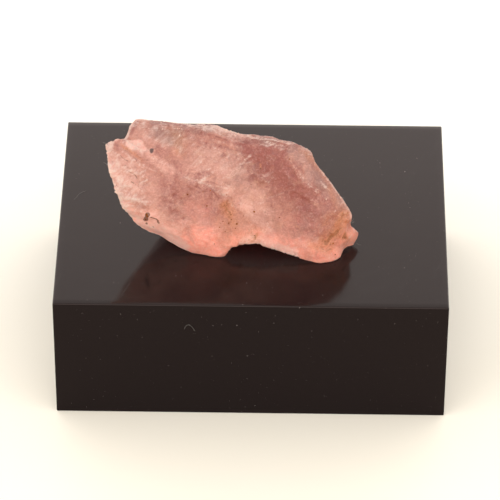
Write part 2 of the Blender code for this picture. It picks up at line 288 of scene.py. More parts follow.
@dataclass(frozen=True)
class RoseFluorite:
    """Translucent rose fluorite, cloudy inside, its broken faces from glassy to frosted.

    Attributes:
        blush: its own colour.
        cloudy: its colour where pale cloud lies under the skin.
        milk: milky cloud, also painted as light on the foot and the arch, whose faces turn down.
        rose: deeper, clearer rose, also painted as shade.
        mauve: cool haze.
        tan: a faint stain all over.
        warm: the light that thin edges let through, painted as colour.
        frost: splintered edges and flakes; its colour also paints glints and sheen.
        ochre: thin iron stain.
        iron: thick iron stain.
        dark: cracks and brown spots.
        grey: shade in the darkest faces.
        cloud: the pattern of the cloud inside.
        blotch: the pattern of the rose.
        haze: the pattern of the haze.
        stain: the pattern of the stains.
        shred: the drawn-out pattern of the frost.
        speckle: the pattern of the rust's specks.
        fleck: the pattern of its finest flecks.
        grain: the finest change of colour and relief.
        blotch_depth: how high the relief of the blotches is, in millimetres.
        shred_depth: how high that of the drawn-out pattern is.
        grain_depth: how high that of the grain is.
        roughness: of its glassy faces.
        frosted: how much rougher frost is.
        uneven: how much the roughness changes with the drawn-out pattern.
        ior: index of refraction.
        specular: how strongly its faces reflect.
        transmission: how much of it is plainly see-through.
        subsurface: how much light scatters under its skin.
        scatter: how far that light goes in millimetres, for red, green and blue.
        deep_scatter: how far it goes in the underside, which is painted to glow.
        painted_underside_glow: the pale pink painted on the underside where the block's top mirrors it, as
            the glow of light passed through the stone.
        absorption: colour and density per metre of what passes through.
    """

    blush: Colour = (0.50, 0.22, 0.165)
    cloudy: Colour = (0.64, 0.34, 0.27)
    milk: Colour = (0.84, 0.475, 0.385)
    rose: Colour = (0.325, 0.095, 0.073)
    mauve: Colour = (0.35, 0.17, 0.14)
    tan: Colour = (0.52, 0.26, 0.16)
    warm: Colour = (0.94, 0.38, 0.28)
    frost: Colour = (0.70, 0.51, 0.44)
    ochre: Colour = (0.62, 0.23, 0.10)
    iron: Colour = (0.31, 0.10, 0.033)
    dark: Colour = (0.13, 0.034, 0.008)
    grey: Colour = (0.07, 0.045, 0.043)
    cloud: Clouds = Clouds(2.6, 5.0, 0.6, 0.8)
    blotch: Clouds = Clouds(1.3, 6.0, 0.66, 1.2)
    haze: Clouds = Clouds(1.9, 6.0, 0.62, 1.0)
    stain: Clouds = Clouds(1.6, 7.0, 0.68, 0.6)
    shred: Clouds = Clouds(0.55, 5.0, 0.7, 1.0, (2.6, 1.0, 1.0), (0.0, -0.75, 0.35))
    speckle: Clouds = Clouds(0.5, 4.0, 0.7, 0.8)
    fleck: Clouds = Clouds(0.26, 3.0, 0.6, 0.4)
    grain: Clouds = Clouds(0.17, 3.0, 0.75)
    blotch_depth: float = 0.07
    shred_depth: float = 0.014
    grain_depth: float = 0.015
    roughness: float = 0.34
    frosted: float = 0.22
    uneven: float = 0.3
    ior: float = 1.434
    specular: float = 0.4
    transmission: float = 0.12
    subsurface: float = 0.7
    scatter: Colour = (0.4, 0.29, 0.23)
    deep_scatter: Colour = (9.0, 7.5, 7.5)
    painted_underside_glow: Colour = (0.92, 0.64, 0.62)
    absorption: tuple[Colour, float] = ((0.92, 0.55, 0.45), 120.0)

    def material(self) -> bpy.types.Material:
        """Build the material from the tints that the stone's vertices hold.

        Returns:
            The material.
        """
        shader = Shader("rose fluorite")
        share = {tint: shader.attribute(tint.value) for tint in Tint}
        cloud, blotch, haze, stain = (
            shader.noise(pattern) - 0.5 for pattern in (self.cloud, self.blotch, self.haze, self.stain))
        shred, speckle, fleck, grain = (
            shader.noise(pattern) - 0.5 for pattern in (self.shred, self.speckle, self.fleck, self.grain))

        # The stone's own colour, its cloud, its deeper rose with painted shade and its haze, then a faint
        # stain, warm painted light in thin edges, and milky cloud with painted light
        colour = shader.mix(shader.step(cloud, -0.15, 0.4), self.blush, self.cloudy)
        rose = share[Tint.ROSE] * (1.0 + 1.4 * blotch) + 0.8 * blotch
        colour = shader.mix(shader.step(rose, 0.0, 1.1), colour, self.rose)
        mauve = share[Tint.MAUVE] * (1.0 + 1.4 * haze) + 0.7 * haze
        colour = shader.mix(shader.step(mauve, 0.1, 1.15), colour, self.mauve)
        colour = shader.mix(shader.step(stain, 0.03, 0.2) * 0.4, colour, self.tan)
        warm = share[Tint.WARM] * (1.0 + 1.2 * blotch) + 0.4 * blotch
        colour = shader.mix(shader.step(warm, 0.05, 1.0), colour, self.warm)
        milk = share[Tint.MILK] * (1.0 + 1.6 * cloud + 0.8 * shred)
        colour = shader.mix(shader.step(milk, 0.0, 1.3), colour, self.milk)

        # Iron stain: a thin wash, then specks, flecks and streaks of rust in it
        wash = shader.step(share[Tint.IRON] * (1.0 + 2.0 * stain), 0.0, 1.1)
        colour = shader.mix(wash * 0.7, colour, self.ochre)
        flecks = shader.step(stain, -0.04, 0.14) * shader.step(fleck, 0.03, 0.13)
        rust = share[Tint.IRON] * (0.7 * shader.step(speckle, 0.01, 0.14) + 1.2 * flecks)
        colour = shader.mix(shader.step(rust, 0.1, 0.9) * 0.85, colour, self.iron)
        streak = shader.step(share[Tint.IRON] + 0.8 * speckle, 1.05, 1.5)
        colour = shader.mix(streak * 0.7, colour, self.iron)

        # Frost, cracks and shade, then faint wisps, painted glints and the grain over everything
        white = shader.step(share[Tint.FROST] * (1.0 + 2.0 * shred) + 0.7 * shred, 0.2, 0.95)
        colour = shader.mix(white * 0.8, colour, self.frost)
        colour = shader.mix(shader.step(share[Tint.DARK] * (1.0 + grain), 0.3, 0.6) * 0.85, colour, self.dark)
        colour = shader.mix(shader.step(share[Tint.GREY] * (1.0 + grain), 0.2, 0.8) * 0.85, colour, self.grey)
        wisp = (1 - shader.step(abs(blotch + 0.3 * shred), 0.0, 0.02)) * shader.step(cloud, -0.05, 0.15)
        colour = shader.mix(wisp * 0.25, colour, self.frost)
        # Painted glints: small pale flecks of frost colour stand in for sparkles of light
        colour = shader.mix(shader.step(grain + 0.5 * speckle, 0.02, 0.2) * 0.12, colour, self.frost)
        colour = shader.mix(1.0, colour, 0.49 + 0.44 * grain + 0.12 * shred + 0.2 * speckle, "OVERLAY")

        relief = shader.bump(blotch, self.blotch_depth)
        relief = shader.bump(shred, self.shred_depth, relief)
        relief = shader.bump(grain, self.grain_depth, relief)
        sockets = {
            "Roughness": self.roughness + self.frosted * white + self.uneven * shred,
            "Normal": relief,
            "IOR": self.ior,
            "Specular IOR Level": self.specular,
            "Transmission Weight": self.transmission,
            "Subsurface Scale": MM,
        }
        open_faces = shader.surface({**sockets, "Base Color": colour, "Subsurface Weight": self.subsurface,
                                     "Subsurface Radius": self.scatter})
        # Painted glow: where the block's top mirrors the underside, it is painted pale pink with deep
        # scatter, for light passed through the stone
        glow = shader.mix(0.3 + 0.6 * blotch, self.painted_underside_glow, colour)
        underside = shader.surface({**sockets, "Base Color": glow, "Subsurface Weight": 1.0,
                                    "Subsurface Radius": self.deep_scatter})
        surface = shader.field("ShaderNodeMixShader", 0, None,
                               {0: shader.attribute(UNDERSIDE), 1: open_faces, 2: underside})
        return shader.end(surface, self.absorption)


@dataclass(frozen=True)
class BlackAcrylic:
    """Black acrylic, its top polished and its sides duller, with hairline scratches and a film of dust.

    Attributes:
        black: its own colour.
        dust: the colour of the dust on it.
        film: the pattern of the film of dust.
        powder: the finest dust.
        settled: where the larger motes lie.
        mote_spacing: from one such mote to the next, in millimetres.
        along: the hairline scratches along the block.
        across: the hairline scratches across it.
        roughness: of the clean polish.
        film_depth: the film's relief in millimetres.
        hair_depth: the scratches' relief in millimetres.
        ior: index of refraction.
        top_specular: how strongly the top reflects.
        side_specular: how strongly the sides do.
        sheen: the tint of what it reflects.
        edge_zone: how far under the top the sides' finish ends and the top's is full, in millimetres.
    """

    black: Colour = (0.0076, 0.0048, 0.0049)
    dust: Colour = (0.30, 0.26, 0.24)
    film: Clouds = Clouds(7.0, 4.0, 0.6)
    powder: Clouds = Clouds(0.14, 2.0, 0.6)
    settled: Clouds = Clouds(2.2)
    mote_spacing: float = 0.9
    along: Clouds = Clouds(0.12, 1.0, 0.5, 0.0, (60.0, 1.0, 1.0), (0.0, 0.0, 0.5))
    across: Clouds = Clouds(0.15, 1.0, 0.5, 0.0, (1.0, 45.0, 1.0), (0.0, 0.0, -0.35))
    roughness: float = 0.085
    film_depth: float = 0.004
    hair_depth: float = 0.0006
    ior: float = 1.49
    top_specular: float = 0.39
    side_specular: float = 0.08
    sheen: Colour = (0.90, 0.70, 0.64)
    edge_zone: tuple[float, float] = (0.12, 0.06)

    def material(self) -> bpy.types.Material:
        """Build the material.

        Returns:
            The material.
        """
        shader = Shader("black acrylic")
        film, powder = shader.noise(self.film), shader.noise(self.powder)
        motes = 1 - shader.step(shader.cells(self.mote_spacing), 0.03, 0.055)
        settled = shader.step(shader.noise(self.settled), 0.52, 0.62)
        along, across = (shader.step(shader.noise(hairs), 0.7, 0.78) for hairs in (self.along, self.across))
        hair = along + across
        sockets = {
            "Base Color": shader.mix(motes * settled * 0.3 + powder * 0.014, self.black, self.dust),
            "Roughness": self.roughness + 0.05 * film + 0.12 * hair + 0.03 * powder,
            "Normal": shader.bump(hair, self.hair_depth, shader.bump(film, self.film_depth)),
            "IOR": self.ior,
            "Specular Tint": (*self.sheen, 1.0),
        }
        side = shader.surface({**sockets, "Specular IOR Level": self.side_specular})
        top = shader.surface({**sockets, "Specular IOR Level": self.top_specular})
        height = shader.field("ShaderNodeSeparateXYZ", "Z", None, {"Vector": shader.place})
        share = shader.step(height, *((BLOCK_TOP - under) * MM for under in self.edge_zone))
        return shader.end(shader.field("ShaderNodeMixShader", 0, None, {0: share, 1: side, 2: top}))


@dataclass(frozen=True)
class PlainGrit:
    """A matte finish for small grains, with a little change from grain to grain.

    Attributes:
        name: the finish's name.
        light: the lighter grains' colour.
        dark: the darker grains' colour.
        roughness: the least roughness.
        specular: how strongly the grains reflect.
        change: the pattern by which the colour changes.
        surface: the pattern by which the roughness does.
    """

    name: str
    light: Colour
    dark: Colour
    roughness: float = 0.8
    specular: float = 0.2
    change: Clouds = Clouds(1.5, 3.0)
    surface: Clouds = Clouds(0.2)

    def material(self) -> bpy.types.Material:
        """Build the material.

        Returns:
            The material.
        """
        shader = Shader(self.name)
        share = shader.step(shader.noise(self.change), 0.35, 0.65)
        return shader.end(shader.surface({
            "Base Color": shader.mix(share, self.light, self.dark),
            "Roughness": self.roughness + 0.1 * shader.noise(self.surface),
            "Specular IOR Level": self.specular,
        }))


@dataclass(frozen=True)
class PaleFloor:
    """The pale table, a little creamier towards the camera.

    Attributes:
        near: its colour near the camera.
        far: its colour behind the block.
        turn: where the one starts to give way to the other and where it has, in millimetres.
        ragged: how far that line strays.
        patch: the pattern by which it strays.
        roughness: the least roughness.
    """

    near: Colour = (0.98, 0.90, 0.76)
    far: Colour = (0.98, 0.93, 0.84)
    turn: tuple[float, float] = (-45.0, 60.0)
    ragged: float = 20.0
    patch: Clouds = Clouds(14.0, 3.0)
    roughness: float = 0.9

    def material(self) -> bpy.types.Material:
        """Build the material.

        Returns:
            The material.
        """
        shader = Shader("pale floor")
        across = shader.field("ShaderNodeSeparateXYZ", "Y", None, {"Vector": shader.place})
        patch = shader.noise(self.patch)
        share = shader.step(across + self.ragged * MM * (patch - 0.5), *(edge * MM for edge in self.turn))
        return shader.end(shader.surface({
            "Base Color": shader.mix(share, self.near, self.far),
            "Roughness": self.roughness + 0.05 * patch,
        }))


@dataclass(frozen=True)
class Mark:
    """A soft line or spot of one tint.

    Attributes:
        name: what it is.
        reach: how far it spreads from its path, in millimetres.
        fade: over what width it ends there.
        strength: its share; above 1 it stays full for longer before it fades.
        path: the photograph's pixels that it runs through.
    """

    name: str
    reach: float
    fade: float
    strength: float
    path: tuple[Pixel, ...]


@dataclass(frozen=True)
class Patch:
    """A patch of one tint on the side that the photograph shows.

    Attributes:
        name: what it is.
        fade: over what width it ends at its outline, in millimetres.
        strength: its share; above 1 it stays full for longer before it fades.
        outline: the photograph's pixels round it.
    """

    name: str
    fade: float
    strength: float
    outline: tuple[Pixel, ...]


@dataclass(frozen=True)
class Steps:
    """Small broken steps that run beside a line of the stone, each a slow rise and a quick fall.

    Attributes:
        name: what they are.
        run: how long the steps are, in millimetres.
        rise: how wide each is.
        height: how high each is.
        reach: how far from the line they go.
        fade: over what width they end there.
        path: the photograph's pixels that the line runs through.
        fall: how much quicker they fall than they rise.
        levels: how many heights the steps wander through.
        ragged: how much of a step their edges stray.
        ragged_length: how long the waves of that are.
    """

    name: str
    run: float
    rise: float
    height: float
    reach: float
    fade: float
    path: tuple[Pixel, ...]
    fall: float = 5.0
    levels: float = 2.0
    ragged: float = 0.35
    ragged_length: float = 0.3


@dataclass(frozen=True)
class Swell:
    """A small bump or notch of the stone's outline.

    Attributes:
        name: what it is.
        pixel: where it shows in the photograph.
        radius: how far it spreads, in millimetres.
        height: how far it stands out, or less than 0 for a notch.
    """

    name: str
    pixel: Pixel
    radius: float
    height: float


@dataclass(frozen=True)
class Ribs:
    """Fine ribs that run across a free edge of the stone.

    Attributes:
        spacing: from one rib to the next, in millimetres.
        depth: how far they stand out and in.
        reach: how far from the edge they go.
        fade: over what width they end there.
        waver: how far they stray along the edge.
        waver_length: how long the waves of that are.
        path: the photograph's pixels that the edge runs through.
    """

    spacing: float
    depth: float
    reach: float
    fade: float
    waver: float
    waver_length: float
    path: tuple[Pixel, ...]


@dataclass(frozen=True)
class Hackles:
    """Curved hackles that fan out over a broken face of the stone.

    Attributes:
        run: how long they are, in millimetres.
        width: from one to the next.
        depth: how high a full one would be.
        flat: what share of that is left under their flat tops.
        fade: over what width they end at the face's outline.
        fan: how much they are drawn together round the centre.
        centre: the photograph's pixel that they fan out from.
        outline: the photograph's pixels round the face.
    """

    run: float
    width: float
    depth: float
    flat: float
    fade: float
    fan: float
    centre: Pixel
    outline: tuple[Pixel, ...]


# Broad areas of each tint
PATCHES: dict[Tint, tuple[Patch, ...]] = {
    Tint.MILK: (
        Patch("broad slope", 2.4, 0.12,
              ((172, 150), (198, 145), (226, 154), (246, 172), (262, 186), (276, 198), (258, 204),
               (238, 206), (222, 192), (200, 181), (178, 170))),
        Patch("slope foot", 1.8, 0.5,
              ((222, 186), (246, 182), (276, 180), (270, 196), (262, 216), (246, 224), (234, 212))),
        Patch("block front", 1.6, 0.39,
              ((128, 138), (148, 130), (170, 140), (184, 158), (190, 172), (166, 166), (140, 156))),
        Patch("blade milk", 3.0, 0.58,
              ((100, 145), (118, 148), (134, 158), (148, 174), (150, 192), (140, 206), (120, 204),
               (104, 180), (100, 165))),
        # Painted light on the left hem, whose faces turn down
        Patch("left hem painted light", 2.4, 1.0,
              ((134, 210), (152, 212), (168, 220), (180, 234), (180, 252), (156, 248), (132, 228))),
        Patch("rim foot", 1.4, 0.4, ((330, 200), (350, 204), (360, 224), (346, 222), (334, 214))),
    ),
    # Deeper rose; the patches named shade are painted shade
    Tint.ROSE: (
        Patch("lobe shade", 2.0, 0.52,
              ((162, 168), (180, 174), (200, 180), (222, 186), (234, 202), (228, 222), (208, 220),
               (190, 224), (172, 222), (160, 196))),
        Patch("right shade", 4.0, 1.15,
              ((238, 138), (262, 142), (285, 146), (293, 160), (305, 180), (319, 191), (331, 202),
               (340, 218), (320, 222), (302, 212), (286, 200), (268, 192), (252, 176), (240, 156))),
        Patch("right face", 2.4, 0.5,
              ((252, 166), (290, 180), (316, 198), (340, 214), (344, 240), (318, 244), (294, 240),
               (288, 218), (268, 204))),
    ),
    Tint.MAUVE: (
        Patch("right face haze", 1.8, 0.42,
              ((290, 220), (306, 212), (330, 220), (344, 232), (334, 242), (296, 238))),
        Patch("rim band", 1.2, 0.75,
              ((286, 132), (306, 138), (324, 156), (342, 180), (358, 204), (362, 224), (346, 226),
               (336, 211), (327, 200), (317, 189), (305, 179), (297, 166), (288, 154))),
        Patch("crest band", 1.2, 0.85,
              ((140, 112), (216, 114), (244, 122), (300, 132), (300, 148), (262, 146), (240, 142),
               (214, 135), (186, 130), (150, 126))),
        Patch("slope mauve", 1.8, 0.4,
              ((236, 142), (250, 146), (256, 160), (262, 178), (250, 184), (240, 166))),
        Patch("block grey", 2.0, 0.75,
              ((146, 122), (186, 124), (192, 140), (184, 154), (166, 150), (150, 136))),
        Patch("blade dusk", 1.6, 0.4,
              ((100, 145), (120, 149), (134, 160), (134, 176), (118, 172), (104, 168))),
    ),
    # Painted light: warm colour where thin edges let light through
    Tint.WARM: (
        Patch("left hem", 4.0, 0.91,
              ((136, 216), (158, 224), (176, 228), (190, 230), (202, 226), (214, 226), (222, 236),
               (230, 246), (230, 262), (210, 266), (180, 258), (150, 244))),
        Patch("right hem", 3.4, 0.68,
              ((230, 236), (258, 232), (284, 236), (310, 240), (336, 236), (350, 222), (366, 238),
               (350, 262), (318, 272), (290, 262), (258, 250), (232, 254))),
    ),
    Tint.FROST: (
        Patch("block haze", 1.6, 0.38,
              ((138, 126), (150, 123), (186, 126), (190, 142), (182, 154), (158, 150), (142, 138))),
        Patch("blade", 3.2, 0.42,
              ((100, 145), (120, 147), (134, 156), (150, 172), (156, 190), (150, 206), (136, 210),
               (120, 208), (104, 180), (100, 165))),
    ),
    Tint.IRON: (
        Patch("valley wash", 2.4, 0.58,
              ((216, 202), (232, 202), (246, 214), (258, 228), (256, 246), (232, 250), (216, 240),
               (218, 220))),
        Patch("right wash", 2.6, 0.5,
              ((324, 216), (344, 210), (358, 222), (352, 244), (332, 260), (308, 256), (314, 234))),
    ),
    Tint.GREY: (
        Patch("block dusk", 1.6, 0.34, ((148, 122), (186, 124), (188, 142), (178, 152), (156, 146))),
    ),
}

# Lines and spots of each tint
MARKS: dict[Tint, tuple[Mark, ...]] = {
    Tint.MILK: (
        Mark("ridge start", 0.2, 0.9, 0.72, ((150, 153), (153, 158), (160, 163), (170, 169))),
        Mark("ridge brow", 0.2, 1.0, 0.36, ((180, 172), (196, 177), (210, 181), (226, 190))),
        Mark("blade hollow light", 0.2, 1.2, 0.36, ((150, 172), (151, 186), (151, 200))),
        Mark("notch facet", 0.36, 0.4, 1.3, ((131, 144), (137, 144.5), (141, 148))),
        Mark("crest pale", 0.2, 0.7, 0.6, ((218, 131), (232, 134.5), (241, 137.5))),
        Mark("rim corner", 0.3, 1.2, 0.34, ((294, 158), (300, 167), (306, 175))),
        Mark("bright cloud", 0.2, 1.8, 0.26, ((184, 168), (200, 164), (222, 170))),
        Mark("left cloud", 0.25, 0.7, 0.42, ((186, 168), (196, 170))),
        Mark("right cloud", 0.2, 0.8, 0.3, ((210, 168), (220, 170.5), (229, 172))),
        Mark("slope light", 0.4, 1.2, 0.8, ((230, 194), (238, 200), (246, 206))),
        Mark("rim foot light", 0.2, 1.1, 0.34, ((318, 206), (331, 208))),
        Mark("lobe column light", 0.05, 1.0, 0.3, ((199, 208), (200, 222), (202, 236))),
        Mark("valley light", 0.5, 1.8, 0.4, ((250, 216), (260, 230), (264, 246))),
        # Painted light on faces that turn down at the left foot and the arch
        Mark("left foot light", 0.4, 1.5, 1.15, ((152, 228), (164, 234), (178, 244))),
        Mark("arch light", 0.3, 1.2, 1.2, ((249, 243), (264, 245), (278, 250), (292, 256))),
        Mark("groove light", 0.2, 1.2, 0.42, ((124, 148), (136, 152), (148, 160))),
    ),
    # Deeper rose; the marks named shade and the groove shadows are painted shade
    Tint.ROSE: (
        Mark("rim edge shade", 0.15, 0.6, 0.5,
             ((303, 149), (317, 164), (332, 185), (346, 205), (352, 220))),
        Mark("crest edge shade", 0.15, 0.6, 0.45,
             ((240, 133), (256, 137), (274, 139), (290, 143), (303, 149))),
        Mark("block top shade", 0.2, 0.6, 0.55, ((168, 122.5), (180, 123.5), (187, 124.5))),
        Mark("block corner shade", 0.1, 0.5, 0.45, ((122, 138), (126, 130), (134, 121))),
        Mark("painted groove shadow 1", 0.0, 0.2, 0.6, ((199, 171), (208, 173), (214, 174))),
        Mark("painted groove shadow 2", 0.0, 0.2, 0.7, ((206, 181), (213, 183), (220, 186))),
        Mark("painted groove shadow 3", 0.0, 0.2, 0.5, ((214, 179), (222, 181), (229, 185))),
        Mark("painted groove shadow 4", 0.0, 0.2, 0.6, ((212, 188.5), (218, 190.5), (222, 194))),
        Mark("block patch", 0.2, 0.8, 0.6, ((157, 151), (167, 155), (176, 164))),
        Mark("slope shade", 0.15, 0.6, 0.7, ((198, 177.5), (203, 176), (208, 173))),
        Mark("right face glow", 0.5, 1.7, 0.84, ((306, 222), (320, 228), (334, 235))),
        Mark("right streak", 0.08, 0.4, 0.6, ((310, 206), (309, 222))),
        Mark("crest shade", 0.4, 1.5, 0.4, ((180, 129), (205, 137), (222, 142))),
        Mark("red zone", 0.1, 0.5, 0.6, ((182, 127), (187, 131))),
        Mark("blade top", 0.15, 0.7, 0.5, ((110, 143.5), (117, 144.5), (124, 148))),
        Mark("groove", 0.05, 0.4, 0.35, ((122, 146), (132, 153), (142, 160), (150, 165))),
        Mark("lobe foot shade", 0.3, 1.3, 0.24, ((204, 228), (214, 238))),
        Mark("valley foot shade", 0.4, 1.6, 0.34, ((216, 232), (230, 240))),
        Mark("blade foot shade", 0.3, 1.2, 0.3, ((150, 212), (166, 208))),
        Mark("knob rose", 0.2, 0.6, 0.5, ((356, 233), (356, 241))),
    ),
    Tint.MAUVE: (
        Mark("slope haze", 0.4, 1.8, 0.45, ((236, 168), (244, 186))),
    ),
    # Painted light: warm colour where thin edges and the foot let light through
    Tint.WARM: (
        Mark("right face warmth", 0.4, 1.6, 0.26, ((288, 222), (304, 228), (322, 232))),
        Mark("lobe column", 0.2, 2.6, 0.34, ((200, 210), (202, 224), (205, 240))),
        Mark("lobe glow", 0.3, 1.8, 0.36, ((192, 209), (206, 220))),
        Mark("left foot warmth", 0.3, 2.4, 1.1, ((140, 227), (156, 236), (172, 244), (186, 250))),
        Mark("arch warmth", 0.3, 2.6, 0.74,
             ((230, 250), (238, 245), (252, 241), (266, 244), (282, 251), (296, 257))),
        Mark("blade foot", 0.3, 1.6, 0.5, ((126, 208), (136, 220))),
        Mark("knob", 0.3, 0.8, 0.4, ((355, 232), (355, 242))),
    ),
    Tint.FROST: (
        Mark("long ridge", 0.0, 0.4, 0.34,
             ((153, 157), (166, 165), (177, 173), (197, 181), (210, 186), (226, 196), (232, 205))),
        Mark("flake 1", 0.0, 0.34, 0.5, ((193, 179), (199, 182), (205, 178), (213, 172))),
        Mark("flake 2", 0.0, 0.26, 0.58, ((206, 184), (212, 187), (217, 192), (223, 195), (228, 192))),
        Mark("flake 3", 0.0, 0.24, 0.42, ((213, 186), (224, 187), (231, 184))),
        Mark("flake 4", 0.0, 0.24, 0.42, ((218, 191), (226, 188), (236, 189))),
        Mark("flake 5", 0.0, 0.3, 0.35, ((200, 176), (209, 172), (216, 170))),
        Mark("blade margin", 0.2, 0.8, 0.45, ((109, 146), (109, 163), (114, 183), (122, 202), (129, 213))),
        Mark("blade lower frost", 0.4, 1.4, 0.52, ((119, 182), (123, 198), (134, 200))),
        Mark("upper slope frost", 0.7, 1.9, 0.33, ((188, 148), (202, 157), (222, 160), (240, 164))),
        Mark("crest lens", 0.12, 0.4, 0.42, ((266, 143), (274, 145.5), (282, 147.5))),
        Mark("block corner frost", 0.3, 0.7, 0.36, ((133, 125), (142, 125))),
        Mark("shade's edge frost", 0.3, 1.4, 0.3, ((256, 170), (270, 180))),
        Mark("blade scallop 1", 0.0, 0.22, 0.8, ((137, 175), (141, 173), (146, 170))),
        Mark("blade scallop 2", 0.0, 0.22, 0.8, ((139, 183), (142, 182), (147, 180))),
        Mark("notch facet's sheen", 0.3, 0.7, 0.42, ((130, 144), (139, 146), (142, 149))),
        Mark("block edge", 0.0, 0.2, 0.4, ((124, 138), (131, 125), (137, 121))),
        Mark("crest outer line", 0.0, 0.22, 0.62,
             ((187, 124.7), (200, 127), (206, 128.3), (217, 127), (231, 130.5), (246, 136.5), (256, 138),
              (274, 140), (290, 144))),
        Mark("crest cream", 0.1, 0.5, 0.42, ((188, 125), (205, 127.5), (222, 130.5), (240, 136))),
        Mark("crest inner line", 0.0, 0.18, 0.6,
             ((202, 129.5), (215, 132.5), (222, 134.5), (231, 137), (242, 141))),
        Mark("crest last line", 0.0, 0.18, 0.4, ((250, 142), (264, 144), (280, 146), (292, 151))),
        Mark("crest edge", 0.0, 0.2, 0.4, ((137, 121), (166, 123.5))),
        Mark("rim crescent", 0.05, 0.3, 0.2, ((301, 176), (305, 179.5), (309, 182))),
        Mark("rim ridge", 0.0, 0.3, 0.22,
             ((302, 176), (305, 181), (312, 188), (317, 191), (322, 194), (326, 200), (331, 207),
              (335, 212))),
        Mark("rim streak", 0.0, 0.3, 0.25, ((316, 175), (321, 181), (326, 189))),
        Mark("rim edge", 0.0, 0.2, 0.3, ((303, 149.5), (317, 164), (332, 185), (346, 205), (351.5, 221))),
        Mark("hair line", 0.0, 0.22, 0.4, ((254, 206), (268, 199), (283, 192.5), (294, 190))),
        Mark("left hem frost", 0.3, 1.0, 0.24, ((146, 223), (154, 226))),
    ),
    Tint.IRON: (
        Mark("groove stain", 0.05, 0.3, 0.6, ((122, 145.5), (129, 149.5), (136, 155), (142, 160))),
        Mark("right stain", 0.3, 1.3, 0.85, ((326, 240), (333, 234), (341, 226), (343, 218))),
        Mark("right stain core", 0.12, 0.4, 1.45, ((326, 243), (329, 239), (333, 235), (337, 231))),
        Mark("right stain upper", 0.1, 0.34, 1.45, ((343.5, 237), (345.5, 234))),
        Mark("right stain side", 0.06, 0.4, 1.3, ((336, 224), (341, 219), (343, 214))),
        Mark("valley streak", 0.06, 0.4, 1.3, ((224, 206), (229, 211), (231, 217))),
        Mark("arch foot stain", 0.0, 0.3, 1.2, ((252, 241), (255, 238), (257, 234))),
        Mark("right stain low", 0.1, 1.0, 0.7, ((312, 246), (330, 248))),
        Mark("right stain end", 0.05, 0.3, 1.3, ((345, 234), (346.5, 238))),
        Mark("valley stain", 0.2, 1.2, 0.8, ((226, 206), (230, 213), (234, 222))),
        Mark("valley foot", 0.3, 1.6, 0.55, ((228, 230), (236, 234), (246, 238), (253, 242))),
        Mark("lobe stain", 0.2, 0.9, 0.5, ((218, 222), (224, 230))),
        Mark("ochre spot", 0.02, 0.2, 0.8, ((260.6, 164.6), (260.4, 168.6))),
        Mark("brow stain", 0.2, 1.2, 0.5, ((174, 132), (181, 141), (178, 152))),
        Mark("rim stain", 0.1, 0.5, 0.42, ((303, 151), (314, 162), (328, 182), (334, 200))),
    ),
    Tint.DARK: (
        Mark("ochre spot's middle", 0.02, 0.16, 0.7, ((260.8, 168), (260.4, 169))),
        Mark("brown patch", 0.15, 0.16, 1.0, ((147.6, 214.6), (145.4, 219.5))),
        Mark("brown patch below", 0.07, 0.12, 0.9, ((147.0, 223.6),)),
        Mark("short line", 0.03, 0.12, 0.8, ((151, 217.5), (155.5, 219), (158, 221.5))),
        Mark("short line's end", 0.06, 0.14, 0.8, ((157.4, 221), (159, 223))),
        Mark("low line", 0.02, 0.1, 0.7, ((152.5, 226.5), (154.5, 228.2))),
        Mark("first crack", 0.0, 0.15, 0.62, ((118.5, 154.3), (123, 158), (128, 161))),
        Mark("second crack", 0.0, 0.15, 0.68, ((127, 170.5), (131.5, 173), (136, 176), (138, 179))),
        Mark("third crack", 0.0, 0.15, 0.66, ((131, 181.7), (135.5, 184.5))),
        Mark("blade line 1", 0.0, 0.13, 0.56, ((120, 158), (123.5, 164), (129, 168))),
        Mark("blade line 2", 0.0, 0.13, 0.54, ((125, 150), (133, 156), (139, 164))),
        Mark("blade line 3", 0.0, 0.13, 0.56, ((140, 181), (138, 186), (142, 190))),
        Mark("blade line 4", 0.0, 0.13, 0.58, ((131, 201), (137, 205), (138, 210))),
        Mark("slope crack", 0.0, 0.14, 0.6, ((242, 155.5), (246, 158), (249, 162))),
    ),
    Tint.GREY: (
        Mark("blade top dusk", 0.3, 0.9, 0.24, ((107, 152), (110, 166))),
        Mark("dark spot", 0.08, 0.24, 1.0, ((151.6, 149.8), (151.7, 151.2))),
    ),
}

# Broken steps beside the stone's edges
STEPS = (
    Steps("crest splinters", 2.6, 0.34, 0.09, 0.9, 0.6,
          ((137, 121), (166, 124), (187, 125), (216, 129), (244, 137), (256, 138), (274, 140), (291, 144),
           (303, 150))),
    Steps("rim splinters", 2.0, 0.3, 0.07, 0.9, 0.8,
          ((291, 160), (298, 172), (305, 182), (319, 192), (329, 202), (335, 211))),
    Steps("rim edge splinters", 2.0, 0.3, 0.07, 0.7, 0.5,
          ((303, 150), (317, 166), (332, 187), (346, 207), (352, 222))),
    Steps("ridge flakes", 1.5, 0.36, 0.1, 1.2, 1.2, ((197, 180), (210, 185), (226, 194), (234, 205))),
    Steps("ridge edge", 1.6, 0.3, 0.08, 0.5, 0.8, ((153, 157), (166, 165), (177, 173), (197, 180))),
    Steps("arch edge", 0.8, 0.3, 0.2, 0.4, 0.5,
          ((230, 251), (238, 247), (256, 245), (270, 249), (286, 257), (302, 261))),
    Steps("notch", 1.4, 0.3, 0.06, 0.5, 0.5, ((124, 143), (132, 151), (142, 158), (152, 160))),
)

